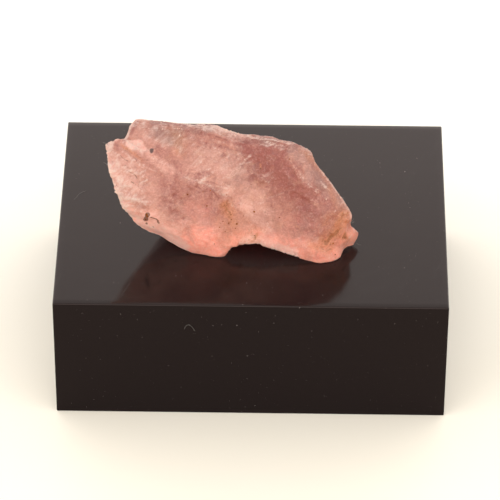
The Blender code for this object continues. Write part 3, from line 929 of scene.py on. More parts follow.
# Bumps and notches of the outline that are too small for the solid
SWELLS = (
    Swell("knob", (357, 237), 0.8, 0.22),
    Swell("under the knob", (348, 250), 0.9, -0.42),
    Swell("above the knob", (350, 227), 0.6, -0.2),
    Swell("blade corner", (106.5, 144), 0.6, 0.22),
    Swell("blade edge", (121, 205), 1.2, 0.26),
    Swell("left hem", (157, 238), 1.3, -0.34),
    Swell("left block corner", (124.5, 137.5), 0.5, 0.14),
    Swell("block top", (136, 119.5), 0.7, 0.08),
    Swell("rim shoulder", (311, 152), 0.8, 0.26),
    Swell("rim foot", (352, 219), 0.5, 0.2),
    Swell("right foot", (338, 257), 0.8, 0.22),
    Swell("right of the arch", (266, 246), 0.9, 0.22),
    Swell("lobe foot", (220, 257), 0.8, 0.14),
)

# Relief of the thin blade at the stone's left end
BLADE_RIBS = Ribs(
    spacing=0.62, depth=0.022, reach=0.9, fade=1.4, waver=0.25, waver_length=1.1,
    path=((109, 146), (108, 160), (113, 180), (121, 199), (131, 215), (143, 226)),
)

BLADE_HACKLES = Hackles(
    run=2.4, width=0.34, depth=0.055, flat=0.4, fade=0.8, fan=3.0, centre=(128, 146),
    outline=((106, 145), (124, 148), (140, 160), (150, 178), (146, 200), (134, 212), (122, 204), (112, 184),
             (106, 165)),
)

# What sets one noise pattern on the stone apart from the next
ROUGH_PATTERN = 1.7
CHIP_PATTERN = 4.0
STEP_PATTERNS = 2.0
TEAR_PATTERNS = (3, 7, 11)


@dataclass(frozen=True)
class Sight:
    """The photograph's camera, in millimetres from the middle of the block's top face.

    Attributes:
        focal_px: focal length in pixels of the photograph.
        azimuth: turn round the block in degrees, 0 looking along +Y.
        elevation: height above the horizon in degrees.
        roll: turn round the line of sight in degrees.
        distance: from the target to the eye.
        target: how far the target lies to the right and up, across the line of sight.
        frame_px: the photograph's side.
        sensor_mm: width of the camera's sensor.
        clip_mm: how near the camera sees.
        middle_px: the middle of the stone in the photograph, towards which a pixel beside it is drawn.
        pull: the share of the way that it is drawn each time.
        pulls: how often it is drawn at most.
    """

    focal_px: float = 3626.7
    azimuth: float = 0.706
    elevation: float = 39.729
    roll: float = 0.229
    distance: float = 376.85
    target: tuple[float, float] = (-0.272, -3.931)
    frame_px: int = 500
    sensor_mm: float = 36.0
    clip_mm: float = 10.0
    middle_px: Pixel = (230.0, 190.0)
    pull: float = 0.02
    pulls: int = 40

    def _level_axes(self) -> tuple[np.ndarray, np.ndarray, np.ndarray]:
        """The camera's axes before it is rolled.

        Returns:
            Right, up and backward.
        """
        turn, lift = math.radians(self.azimuth), math.radians(self.elevation)
        back = np.array([math.sin(turn) * math.cos(lift), -math.cos(turn) * math.cos(lift), math.sin(lift)])
        right = np.array([math.cos(turn), math.sin(turn), 0.0])
        return right, np.cross(back, right), back

    def axes(self) -> tuple[np.ndarray, np.ndarray, np.ndarray]:
        """The camera's axes.

        Returns:
            Right, up and backward of the picture.
        """
        right, up, back = self._level_axes()
        roll = math.radians(self.roll)
        rolled = math.cos(roll) * right + math.sin(roll) * up
        return rolled, math.cos(roll) * up - math.sin(roll) * right, back

    def eye(self) -> np.ndarray:
        """Where the camera stands."""
        right, up, back = self._level_axes()
        return self.target[0] * right + self.target[1] * up + self.distance * back

    def towards(self, pixel: Pixel) -> np.ndarray:
        """The line of sight through a pixel.

        Args:
            pixel: the photograph's pixel.

        Returns:
            The line's direction.
        """
        right, up, back = self.axes()
        across, down = (np.array(pixel) - self.frame_px / 2) / self.focal_px
        return across * right - down * up - back

    def pixels(self, points: np.ndarray) -> np.ndarray:
        """Where points show in the photograph.

        Args:
            points: the points, one row each.

        Returns:
            Their pixels, one row each.
        """
        right, up, back = self.axes()
        sight = points - self.eye()
        scale = self.focal_px / -(sight @ back)
        middle = self.frame_px / 2
        return np.stack([middle + scale * (sight @ right), middle - scale * (sight @ up)], axis=1)

    def meets(self, pixel: Pixel, tree: BVHTree) -> tuple[Vector, Vector]:
        """Where the line of sight through a pixel first meets a surface.

        A pixel beside the stone is drawn towards its middle until it meets.

        Args:
            pixel: the photograph's pixel.
            tree: the surface.

        Returns:
            The place, and the surface's normal there.
        """
        eye = Vector(self.eye())
        aim = np.array(pixel, dtype=float)
        for _ in range(self.pulls):
            place, normal, _, _ = tree.ray_cast(eye, Vector(self.towards(aim)))
            if place:
                return place, normal
            aim += self.pull * (np.array(self.middle_px) - aim)
        raise ValueError(f"pixel {pixel} meets nothing")

    def level_with(self, place: Vector, pixel: Pixel) -> Vector:
        """The point on the line of sight through a pixel that is as far from the camera as a place.

        Args:
            place: the place.
            pixel: the photograph's pixel.

        Returns:
            The point.
        """
        eye, back = self.eye(), self.axes()[2]
        way = self.towards(pixel)
        return Vector(eye + way * ((np.array(place) - eye) @ back) / (way @ back))

    def camera(self) -> None:
        """Make the scene's camera."""
        lens = bpy.data.cameras.new("camera")
        lens.sensor_width = self.sensor_mm
        lens.lens = self.focal_px / self.frame_px * self.sensor_mm
        lens.clip_start = self.clip_mm * MM
        camera = bpy.data.objects.new("camera", lens)
        bpy.context.scene.collection.objects.link(camera)
        turned = Matrix(np.stack(self.axes(), axis=1).tolist()).to_4x4()
        place = Matrix.Translation(Vector(self.eye() + TOP_MIDDLE) * MM)
        camera.matrix_world = place @ turned
        bpy.context.scene.camera = camera


def new_piece(name: str, mesh: bpy.types.Mesh) -> bpy.types.Object:
    """Link an object to the scene.

    Args:
        name: its name.
        mesh: its mesh.

    Returns:
        The object.
    """
    piece = bpy.data.objects.new(name, mesh)
    bpy.context.scene.collection.objects.link(piece)
    return piece


def finish_piece(piece: bpy.types.Object, material: bpy.types.Material) -> None:
    """Give a piece its material, make it ride on the part and report it.

    Args:
        piece: the piece, its mesh in metres.
        material: its finish.
    """
    piece.data.shade_smooth()
    piece.data.materials.clear()
    piece.data.materials.append(material)
    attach(piece, "root")
    log.info("%s: %d faces", piece.name, len(piece.data.polygons))


def read_rows(items: bpy.types.bpy_prop_collection, key: str) -> np.ndarray:
    """Read a vector from each item of a collection.

    Args:
        items: the collection.
        key: the name that the items hold their vectors under.

    Returns:
        The vectors, one row each.
    """
    rows = np.empty(len(items) * 3)
    items.foreach_get(key, rows)
    return rows.reshape(-1, 3)


def read_points(mesh: bpy.types.Mesh) -> np.ndarray:
    """The places of a mesh's vertices, one row each."""
    return read_rows(mesh.vertices, "co")


def read_normals(mesh: bpy.types.Mesh) -> np.ndarray:
    """The normals at a mesh's vertices, one row each."""
    return read_rows(mesh.vertex_normals, "vector")


def write_points(mesh: bpy.types.Mesh, points: np.ndarray) -> None:
    """Put a mesh's vertices at these places."""
    mesh.vertices.foreach_set("co", np.asarray(points, dtype=np.float32).ravel())
    mesh.update()


def write_numbers(mesh: bpy.types.Mesh, name: str, numbers: Sequence[float]) -> None:
    """Give each vertex of a mesh a number of this name."""
    mesh.attributes.new(name, "FLOAT", "POINT").data.foreach_set("value", numbers)


def mesh_from(form: bmesh.types.BMesh, name: str) -> bpy.types.Mesh:
    """Turn an edit mesh into a mesh.

    Args:
        form: the edit mesh, which is freed.
        name: the mesh's name.

    Returns:
        The mesh.
    """
    mesh = bpy.data.meshes.new(name)
    form.to_mesh(mesh)
    form.free()
    return mesh


def plain_mesh(piece: bpy.types.Object) -> bpy.types.Mesh:
    """Make a mesh of what an object's modifiers give.

    Args:
        piece: the object, which loses its modifiers.

    Returns:
        The mesh.
    """
    bpy.context.view_layer.update()
    evaluated = piece.evaluated_get(bpy.context.evaluated_depsgraph_get())
    mesh = bpy.data.meshes.new_from_object(evaluated)
    piece.modifiers.clear()
    return mesh


def surface_tree(mesh: bpy.types.Mesh) -> BVHTree:
    """What finds places on a mesh."""
    corners = [vertex.co for vertex in mesh.vertices]
    return BVHTree.FromPolygons(corners, [face.vertices for face in mesh.polygons])


def place_in_metres(mesh: bpy.types.Mesh) -> None:
    """Turn a mesh in millimetres from the block's top into metres in the part's frame."""
    write_points(mesh, (read_points(mesh) + TOP_MIDDLE) * MM)


def smooth_step(edge: float, width: float, values: np.ndarray) -> np.ndarray:
    """0 below the edge and 1 above it, with a soft change of this width."""
    share = np.clip((values - edge) / width + 0.5, 0.0, 1.0)
    return share * share * (3.0 - 2.0 * share)


def noise_at(points: np.ndarray, length: float, shift: float = 0.0) -> np.ndarray:
    """Smooth noise.

    Args:
        points: where it is read.
        length: how long its waves are.
        shift: what sets one pattern apart from the next.

    Returns:
        A number from -1 to 1 for each point.
    """
    offset = Vector((shift, -shift, shift / 2))
    return np.array([noise.noise(Vector(point) / length + offset) for point in points])


def beside_path(points: np.ndarray, path: np.ndarray) -> tuple[np.ndarray, np.ndarray]:
    """Measure points against a line.

    Args:
        points: the points, one row each.
        path: the line's corners, one row each.

    Returns:
        How far each point is along the line, and how far away from it.
    """
    along = np.zeros(len(points))
    away = np.full(len(points), np.inf)
    if len(path) == 1:
        return along, np.linalg.norm(points - path[0], axis=1)
    passed = 0.0
    for start, end in zip(path[:-1], path[1:]):
        run = end - start
        length = np.linalg.norm(run)
        share = np.clip((points - start) @ run / length**2, 0.0, 1.0)
        distance = np.linalg.norm(points - start - share[:, None] * run, axis=1)
        nearer = distance < away
        along[nearer] = passed + share[nearer] * length
        away[nearer] = distance[nearer]
        passed += length
    return along, away


@dataclass
class Stone:
    """The rough fluorite: its fine broken skin and its tints.

    Attributes:
        sight: the photograph's camera.
        grid: the fine skin's mesh size in millimetres.
        joined: how near two corners of the solid's loose triangles are one.
        wear_passes: how often the solid's facets are smoothed on that grid.
        wear_share: how far they are smoothed each time.
        chip_faces: how many broken facets the chipping takes.
        chip_share: how far the skin moves onto them.
        chip_patches: the size of the patches that are chipped.
        chip_more: how much more of the stone is chipped than not.
        chip_fade: over what change of the noise the chipping ends.
        rough: the height and the length of each layer of the skin's roughness.
        pit_seed: what the pits' chance places start from.
        pit_count: how many pits there are.
        pit_radius: the smallest and the largest pit's radius.
        pit_depth: the shallowest and the deepest pit's depth.
        clearance: how far above the block the lowest skin stays.
        wide_waves: how long the wide waves are that tear the tints' outlines.
        fine_waves: how long the fine ones are.
        patch_tear: how far the wide and the fine waves move a patch's outline.
        mark_tear: how far the fine ones move a mark's path.
        facing: the middle and the width of the turn at which a patch ends on the stone's far side.
        edges: how often the skin is smoothed to find its edges, and how far they stand out of it then.
        edge_turn: the middle and the width of the change at which an edge or a crease counts.
        edge_frost: how much frost an edge has.
        crease_painted_shade: how much deeper rose is painted into a crease as shade.
        foot: the height at which the light from under the stone ends, and over what width.
        foot_warmth: how strong that light is.
        mirrored: the middle and the width of the turn at which a face shows in the block's top.
        hidden: those of the turn at which the face itself is out of the camera's sight.
        tree: the solid, to find places on.
        skin: the finished skin, to find places on.
        points: the places of its vertices.
        normals: the normals there.
        shares: each tint's number at every vertex.
    """

    sight: Sight
    grid: float = 0.11
    joined: float = 0.001
    wear_passes: int = 5
    wear_share: float = 0.5
    chip_faces: int = 1500
    chip_share: float = 0.55
    chip_patches: float = 3.0
    chip_more: float = 0.1
    chip_fade: float = 0.8
    rough: tuple[tuple[float, float], ...] = ((0.05, 0.9), (0.035, 0.42), (0.02, 0.22))
    pit_seed: int = 5
    pit_count: int = 260
    pit_radius: tuple[float, float] = (0.15, 0.45)
    pit_depth: tuple[float, float] = (0.02, 0.07)
    clearance: float = 0.004
    wide_waves: float = 2.2
    fine_waves: float = 0.5
    patch_tear: tuple[float, float] = (0.8, 0.25)
    mark_tear: float = 0.1
    facing: tuple[float, float] = (-0.1, 0.3)
    edges: tuple[tuple[int, float], ...] = ((24, 0.05), (5, 0.014))
    edge_turn: tuple[float, float] = (1.1, 1.8)
    edge_frost: float = 0.22
    crease_painted_shade: float = 0.3
    foot: tuple[float, float] = (0.9, 2.2)
    foot_warmth: float = 0.85
    mirrored: tuple[float, float] = (0.2, 0.4)
    hidden: tuple[float, float] = (0.1, 0.3)
    tree: BVHTree = field(init=False)
    skin: BVHTree = field(init=False)
    points: np.ndarray = field(init=False)
    normals: np.ndarray = field(init=False)
    shares: dict[Tint, np.ndarray] = field(init=False)

    def build(self) -> None:
        """Make the stone."""
        solid = self._solid()
        self.tree = surface_tree(solid)
        piece = self._fine_skin(solid)
        self._chip(piece)
        self._carve(piece.data)
        self.points, self.normals = read_points(piece.data), read_normals(piece.data)
        self._tint(piece.data)
        self.skin = surface_tree(piece.data)
        place_in_metres(piece.data)
        finish_piece(piece, RoseFluorite().material())
        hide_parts("fluorite")

    def _solid(self) -> bpy.types.Mesh:
        """The stone's solid, its loose triangles joined and its feet brought down to the block.

        Returns:
            Its mesh, in millimetres.
        """
        form = bmesh.new()
        form.from_mesh(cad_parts["fluorite"].data)
        bmesh.ops.remove_doubles(form, verts=form.verts, dist=self.joined * MM)
        mesh = mesh_from(form, "stone solid")
        points = read_points(mesh) / MM - TOP_MIDDLE
        low, high = points[:, 2].min(), points[:, 2].max()
        points[:, 2] -= low * (high - points[:, 2]) / (high - low)
        write_points(mesh, points)
        return mesh

    def _fine_skin(self, solid: bpy.types.Mesh) -> bpy.types.Object:
        """Make the solid's skin again on the fine grid, its facets worn smooth.

        Args:
            solid: the solid's mesh.

        Returns:
            The piece.
        """
        piece = new_piece("fluorite_stone", solid.copy())
        remesh = piece.modifiers.new("fine grid", "REMESH")
        remesh.mode = "VOXEL"
        remesh.voxel_size = self.grid
        wear = piece.modifiers.new("wear", "SMOOTH")
        wear.factor = self.wear_share
        wear.iterations = self.wear_passes
        piece.data = plain_mesh(piece)
        return piece

    def _chip(self, piece: bpy.types.Object) -> None:
        """Move the skin part of the way onto broad broken facets.

        Args:
            piece: the stone.
        """
        thin = piece.modifiers.new("chips", "DECIMATE")
        thin.ratio = self.chip_faces / (2 * len(piece.data.polygons))
        tree = surface_tree(plain_mesh(piece))
        points = read_points(piece.data)
        nearest = np.array([tree.find_nearest(Vector(point))[0] for point in points])
        patches = noise_at(points, self.chip_patches, CHIP_PATTERN) + self.chip_more
        share = self.chip_share * smooth_step(0.0, self.chip_fade, patches)
        write_points(piece.data, points + share[:, None] * (nearest - points))

    def _carve(self, mesh: bpy.types.Mesh) -> None:
        """Move the skin in and out along its normals.

        Args:
            mesh: the skin.
        """
        points, normals = read_points(mesh), read_normals(mesh)
        relief = sum(height * noise_at(points, length, ROUGH_PATTERN) for height, length in self.rough)
        relief += sum(self._steps(points, steps, STEP_PATTERNS * index) for index, steps in enumerate(STEPS))
        relief += (self._ribs(points, BLADE_RIBS) + self._hackles(points, normals, BLADE_HACKLES)
                   + self._pits(points))
        for swell in SWELLS:
            away = np.linalg.norm(points - self._on_stone((swell.pixel,)), axis=1) / swell.radius
            relief += swell.height * np.exp(-away * away)
        points = points + relief[:, None] * normals
        points[:, 2] = np.maximum(points[:, 2], self.clearance)
        write_points(mesh, points)

    def _steps(self, points: np.ndarray, steps: Steps, shift: float) -> np.ndarray:
        """Relief of the small broken steps beside one line.

        Args:
            points: the skin's points, one row each.
            steps: the steps.
            shift: what sets them apart from the next line's.

        Returns:
            The relief at each point.
        """
        along, away = beside_path(points, self._on_stone(steps.path))
        flow = np.stack([along / steps.run, away / steps.rise, np.full(len(points), shift)], axis=1)
        level = steps.levels * noise_at(flow, 1.0) + steps.ragged * noise_at(points, steps.ragged_length)
        rise = level - np.floor(level)
        fall = np.minimum(rise, steps.fall * (1.0 - rise))
        near = 1.0 - smooth_step(steps.reach, steps.fade, away)
        return steps.height * (fall - 0.5) * near

    def _ribs(self, points: np.ndarray, ribs: Ribs) -> np.ndarray:
        """Relief of the fine ribs across an edge.

        Args:
            points: the skin's points, one row each.
            ribs: the ribs.

        Returns:
            The relief at each point.
        """
        along, away = beside_path(points, self._on_stone(ribs.path))
        along += ribs.waver * noise_at(points, ribs.waver_length)
        near = 1.0 - smooth_step(ribs.reach, ribs.fade, away)
        return ribs.depth * np.sin(math.tau * along / ribs.spacing) * near

    def _hackles(self, points: np.ndarray, normals: np.ndarray, hackles: Hackles) -> np.ndarray:
        """Relief of the curved hackles on a face.

        Args:
            points: the skin's points, one row each.
            normals: their normals.
            hackles: the hackles.

        Returns:
            The relief at each point.
        """
        out = points - self._on_stone((hackles.centre,))[0]
        turn = np.arctan2(out[:, 2], out[:, 0]) * hackles.fan
        away = np.linalg.norm(out, axis=1)
        flow = np.stack([away / hackles.width, turn / hackles.run, points[:, 1] / hackles.run], axis=1)
        crease = np.minimum(np.abs(noise_at(flow, 1.0)), hackles.flat)
        inside = self._inside(points, normals, hackles.outline, hackles.fade)
        return hackles.depth * (crease - hackles.flat / 2) * inside

    def _pits(self, points: np.ndarray) -> np.ndarray:
        """Relief of small pits where crumbs have come out.

        Args:
            points: the skin's points, one row each.

        Returns:
            The relief at each point.
        """
        draw = random.Random(self.pit_seed)
        total = np.zeros(len(points))
        for _ in range(self.pit_count):
            centre = points[draw.randrange(len(points))]
            radius, depth = draw.uniform(*self.pit_radius), draw.uniform(*self.pit_depth)
            near = np.abs(points - centre).max(axis=1) < radius
            away = np.linalg.norm(points[near] - centre, axis=1) / radius
            total[near] -= depth * np.clip(1.0 - away * away, 0.0, None)
        return total

    def _on_stone(self, path: Sequence[Pixel]) -> np.ndarray:
        """Where the lines of sight through these pixels meet the stone."""
        return np.array([self.sight.meets(pixel, self.tree)[0] for pixel in path])

    def _inside(self, points: np.ndarray, normals: np.ndarray, outline: Sequence[Pixel],
                fade: float) -> np.ndarray:
        """How far inside an outline of the photograph each point shows there.

        Args:
            points: the points, one row each.
            normals: their normals.
            outline: the photograph's pixels round the area.
            fade: over what width it ends, in millimetres.

        Returns:
            From 0 outside or on the far side to 1 inside.
        """
        seen = self.sight.pixels(points)
        corners = np.array(outline, dtype=float)
        within = np.zeros(len(points), dtype=bool)
        away = np.full(len(points), np.inf)
        for start, end in zip(corners, np.roll(corners, -1, axis=0)):
            run = end - start
            share = np.clip((seen - start) @ run / (run @ run), 0.0, 1.0)
            away = np.minimum(away, np.linalg.norm(seen - start - share[:, None] * run, axis=1))
            crosses = (start[1] > seen[:, 1]) != (end[1] > seen[:, 1])
            rise = run[1] if run[1] else 1.0
            within ^= crosses & (seen[:, 0] < start[0] + run[0] * (seen[:, 1] - start[1]) / rise)
        depth = np.where(within, away, -away) * self.sight.distance / self.sight.focal_px
        towards = normals @ self.sight.axes()[2]
        return smooth_step(0.0, fade, depth) * smooth_step(*self.facing, towards)

    def _tint(self, mesh: bpy.types.Mesh) -> None:
        """Write each tint's share at every vertex.

        Args:
            mesh: the skin.
        """
        points, normals = self.points, self.normals
        wide, fine = (np.stack([noise_at(points, waves, shift) for shift in TEAR_PATTERNS], axis=1)
                      for waves in (self.wide_waves, self.fine_waves))
        self.shares = {tint: np.zeros(len(points)) for tint in Tint}
        torn = points + self.patch_tear[0] * wide + self.patch_tear[1] * fine
        for tint, patches in PATCHES.items():
            for patch in patches:
                self._lay(tint, patch.strength * self._inside(torn, normals, patch.outline, patch.fade))
        ragged = points + self.mark_tear * fine
        for tint, marks in MARKS.items():
            for mark in marks:
                away = beside_path(ragged, self._on_stone(mark.path))[1]
                near = 1.0 - smooth_step(mark.reach + mark.fade / 2, mark.fade, away)
                self._lay(tint, mark.strength * near)
        # Frost on the edges that stand out, and shade painted as deeper rose into the creases
        for passes, height in self.edges:
            bulge = self._bulge(mesh, passes) / height
            self.shares[Tint.FROST] += self.edge_frost * smooth_step(*self.edge_turn, bulge)
            self.shares[Tint.ROSE] += self.crease_painted_shade * smooth_step(*self.edge_turn, -bulge)
        # Painted light: the foot loses frost and haze and is painted warm for the light from under the stone
        foot = 1.0 - smooth_step(*self.foot, points[:, 2])
        self.shares[Tint.FROST] *= 1.0 - foot
        self.shares[Tint.MAUVE] *= 1.0 - foot
        self._lay(Tint.WARM, self.foot_warmth * foot)
        for tint, share in self.shares.items():
            write_numbers(mesh, tint.value, share)
        # Where the block's top mirrors the stone's underside, which gets the painted glow
        back = self.sight.axes()[2]
        mirrored = smooth_step(*self.mirrored, normals @ (back * [1.0, 1.0, -1.0]))
        write_numbers(mesh, UNDERSIDE, mirrored * smooth_step(*self.hidden, -(normals @ back)))

    def _lay(self, tint: Tint, share: np.ndarray) -> None:
        """Raise a tint to this share where it is less."""
        self.shares[tint] = np.maximum(self.shares[tint], share)

    def _bulge(self, mesh: bpy.types.Mesh, passes: int) -> np.ndarray:
        """How far each vertex stands proud of the smoothed skin.

        Args:
            mesh: the skin.
            passes: how often it is smoothed.

        Returns:
            A height in millimetres for each vertex.
        """
        pairs = np.empty(len(mesh.edges) * 2, dtype=np.int32)
        mesh.edges.foreach_get("vertices", pairs)
        pairs = pairs.reshape(-1, 2)
        ends = np.concatenate([pairs, pairs[:, ::-1]])
        count = np.bincount(ends[:, 0], minlength=len(self.points))[:, None]
        smooth = self.points
        for _ in range(passes):
            sums = [np.bincount(ends[:, 0], smooth[ends[:, 1], axis], len(smooth)) for axis in range(3)]
            smooth = np.stack(sums, axis=1) / count
        return ((self.points - smooth) * self.normals).sum(axis=1)


@dataclass
class DisplayBlock:
    """The polished block, its edges finely broken.

    Attributes:
        edge: radius of its broken edges in millimetres.
        cuts: how many times each side is divided.
        edge_cuts: how many of those divisions lie on each broken edge.
    """

    edge: float = 0.13
    cuts: int = 60
    edge_cuts: int = 5

    def build(self) -> None:
        """Make the block."""
        low, high = (np.array(corner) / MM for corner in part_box("display_block"))
        form = bmesh.new()
        bmesh.ops.create_cube(form, size=2.0)
        bmesh.ops.subdivide_edges(form, edges=form.edges[:], cuts=self.cuts, use_grid_fill=True)
        mesh = mesh_from(form, "display_block")
        half = (high - low) / 2
        write_points(mesh, (self._rounded(read_points(mesh), half) + (low + high) / 2) * MM)
        piece = new_piece("polished_block", mesh)
        finish_piece(piece, BlackAcrylic().material())
        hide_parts("display_block")

    def _rounded(self, points: np.ndarray, half: np.ndarray) -> np.ndarray:
        """Turn the points of a cube from -1 to 1 into those of the block.

        Args:
            points: the cube's points, evenly spaced.
            half: half the block's sides.

        Returns:
            The block's points, packed closely on its rounded edges.
        """
        zone = 2.0 * self.edge_cuts / (self.cuts + 1)
        even = (-1.0, -1.0 + zone, 1.0 - zone, 1.0)
        for axis, reach in enumerate(half):
            packed = (-reach, self.edge - reach, reach - self.edge, reach)
            points[:, axis] = np.interp(points[:, axis], even, packed)
        inner = np.clip(points, self.edge - half, half - self.edge)
        out = points - inner
        return inner + self.edge * out / np.linalg.norm(out, axis=1)[:, None]


class Grower(Graph):
    """A Geometry Nodes tree with inputs of its own, that is run once on a host object."""

    def __init__(self, name: str, inputs: dict[str, str]) -> None:
        """Start from the host's geometry.

        Args:
            name: the tree's name.
            inputs: the socket type of each further input, by its name.
        """
        super().__init__(bpy.data.node_groups.new(name, "GeometryNodeTree"))
        sides = self.tree.interface
        sides.new_socket("Geometry", in_out="INPUT", socket_type="NodeSocketGeometry")
        sides.new_socket("Geometry", in_out="OUTPUT", socket_type="NodeSocketGeometry")
        for title, kind in inputs.items():
            sides.new_socket(title, in_out="INPUT", socket_type=kind)
        self.start = self.node("NodeGroupInput")

    def given(self, name: str) -> Field:
        """One of the tree's inputs."""
        return Field(self, self.start.outputs[name])

    def finish(self, geometry: Field) -> None:
        """End the tree in real geometry with its own finish.

        Args:
            geometry: what the tree has made.
        """
        real = self.field("GeometryNodeRealizeInstances", 0, None, {0: geometry})
        coated = self.field("GeometryNodeSetMaterial", 0, None,
                            {"Geometry": real, "Material": self.given("Finish")})
        self.node("NodeGroupOutput", None, {0: coated})

    def grow(self, name: str, host: bpy.types.Mesh, settings: dict[str, Value]) -> None:
        """Run the tree and finish the piece that it makes.

        Args:
            name: the piece's name.
            host: the mesh that it runs on, in millimetres.
            settings: a value for each of its inputs.
        """
        piece = new_piece(name, host)
        modifier = piece.modifiers.new(name, "NODES")
        modifier.node_group = self.tree
        for item in self.tree.interface.items_tree:
            if item.in_out == "INPUT" and item.name in settings:
                modifier[item.identifier] = settings[item.name]
        piece.data = plain_mesh(piece)
        place_in_metres(piece.data)
        finish_piece(piece, settings["Finish"])


def grain_tree() -> Grower:
    """Irregular grains, one at each vertex of the host, each as large as the vertex's size says.

    Returns:
        The tree.
    """
    tree = Grower("grains", {"Shape": "NodeSocketVector", "Jaggedness": "NodeSocketFloat",
                             "Lump Scale": "NodeSocketFloat", "Fineness": "NodeSocketInt",
                             "Seed": "NodeSocketInt", "Finish": "NodeSocketMaterial"})
    ball = tree.field("GeometryNodeMeshIcoSphere", "Mesh", None,
                      {"Radius": 1.0, "Subdivisions": tree.given("Fineness")})
    lumps = tree.field("ShaderNodeTexNoise", "Color", {"noise_dimensions": "4D"}, {
        "Vector": tree.field("GeometryNodeInputPosition", 0), "Scale": tree.given("Lump Scale"),
        "W": tree.given("Seed")})
    middle = tree.field("ShaderNodeVectorMath", 0, {"operation": "SUBTRACT"}, {0: lumps, 1: (0.5, 0.5, 0.5)})
    push = tree.field("ShaderNodeVectorMath", 0, {"operation": "SCALE"},
                      {0: middle, "Scale": tree.given("Jaggedness")})
    lump = tree.field("GeometryNodeSetPosition", 0, None, {"Geometry": ball, "Offset": push})
    turn = tree.field("FunctionNodeRandomValue", 0, {"data_type": "FLOAT_VECTOR"},
                      {0: (0.0, 0.0, 0.0), 1: (math.tau, math.tau, math.tau), "Seed": tree.given("Seed")})
    size = tree.field("GeometryNodeInputNamedAttribute", 0, {"data_type": "FLOAT"}, {"Name": SIZE})
    stretch = tree.field("ShaderNodeVectorMath", 0, {"operation": "SCALE"},
                         {0: tree.given("Shape"), "Scale": size})
    places = tree.field("GeometryNodeMeshToPoints", 0, None, {0: tree.given("Geometry")})
    grains = tree.field("GeometryNodeInstanceOnPoints", 0, None,
                        {"Points": places, "Instance": lump, "Rotation": turn, "Scale": stretch})
    tree.finish(grains)
    return tree


def fibre_tree() -> Grower:
    """Round fibres along the host's edges.

    Returns:
        The tree.
    """
    tree = Grower("fibres", {"Radius": "NodeSocketFloat", "Bends": "NodeSocketInt", "Sides": "NodeSocketInt",
                             "Finish": "NodeSocketMaterial"})
    line = tree.field("GeometryNodeMeshToCurve", 0, None, {0: tree.given("Geometry")})
    bent = tree.field("GeometryNodeCurveSplineType", 0, {"spline_type": "CATMULL_ROM"}, {0: line})
    even = tree.field("GeometryNodeResampleCurve", 0, None, {0: bent, "Count": tree.given("Bends")})
    ring = tree.field("GeometryNodeCurvePrimitiveCircle", 0, None,
                      {"Resolution": tree.given("Sides"), "Radius": tree.given("Radius")})
    tube = tree.field("GeometryNodeCurveToMesh", 0, None,
                      {"Curve": even, "Profile Curve": ring, "Fill Caps": True})
    tree.finish(tube)
    return tree


@dataclass(frozen=True)
class Grit:
    """One kind of small grain.

    Attributes:
        finish: its finish.
        shape: how long, wide and high a grain is for its size.
        jaggedness: how far its corners are pushed in and out.
        fineness: how often a grain's faces are divided, counted from 1.
        seed: what its chance shapes start from.
        lump_scale: how close together its lumps are.
    """

    finish: PlainGrit
    shape: tuple[float, float, float]
    jaggedness: float
    fineness: int
    seed: int
    lump_scale: float = 0.9

    def inputs(self) -> dict[str, Value]:
        """The inputs of the grains' tree."""
        return {"Shape": self.shape, "Jaggedness": self.jaggedness, "Lump Scale": self.lump_scale,
                "Fineness": self.fineness, "Seed": self.seed, "Finish": self.finish.material()}


RUST = Grit(PlainGrit("rust", (0.40, 0.11, 0.012), (0.17, 0.045, 0.006)),
            shape=(1.0, 0.85, 0.7), jaggedness=0.9, fineness=2, seed=3)
CRUMBS = Grit(PlainGrit("fluorite crumbs", (0.84, 0.60, 0.50), (0.66, 0.38, 0.30), 0.5),
              shape=(1.5, 0.7, 0.4), jaggedness=1.0, fineness=2, seed=8)
DUST = Grit(PlainGrit("dust", (0.40, 0.34, 0.32), (0.17, 0.14, 0.13)),
            shape=(1.0, 0.8, 0.6), jaggedness=0.8, fineness=1, seed=5)
LINT = PlainGrit("lint", (0.27, 0.25, 0.23), (0.18, 0.165, 0.15), 0.7)

# Grains that can be told apart in the photograph: the pixel and the radius in millimetres
Grain = tuple[float, float, float]
RUST_SPECKS: tuple[Grain, ...] = (
    (210.5, 190.5, 0.11), (206.8, 206, 0.14), (203, 192, 0.08), (226.5, 195, 0.09), (251, 184.5, 0.08),
    (254.3, 211.5, 0.18), (231, 214.5, 0.11), (226, 210, 0.09), (231.5, 219.5, 0.12), (223, 221.5, 0.12),
    (228.8, 223, 0.12), (236.8, 223.8, 0.2), (235.3, 228.3, 0.12), (219.8, 227.3, 0.12), (225, 231.5, 0.09),
    (214.3, 244, 0.09), (254.7, 235.5, 0.12), (255.5, 227, 0.08), (243.5, 216, 0.08), (239, 204.7, 0.08),
    (265, 212, 0.08), (267.5, 214, 0.06), (187.6, 194.6, 0.14), (279.2, 217.4, 0.11), (303, 164, 0.09),
    (309.5, 163.5, 0.09), (289.5, 159, 0.09), (333.3, 243.1, 0.14), (335.2, 254.6, 0.11), (298, 210, 0.06),
    (146.6, 214.4, 0.24), (147.2, 216.6, 0.21), (145.7, 219.6, 0.18), (147, 224, 0.11), (220, 223, 0.08),
    (233, 211, 0.08), (229, 217, 0.09), (249, 240, 0.08), (317, 247, 0.08), (330, 249, 0.08),
    (323, 239, 0.09),
)
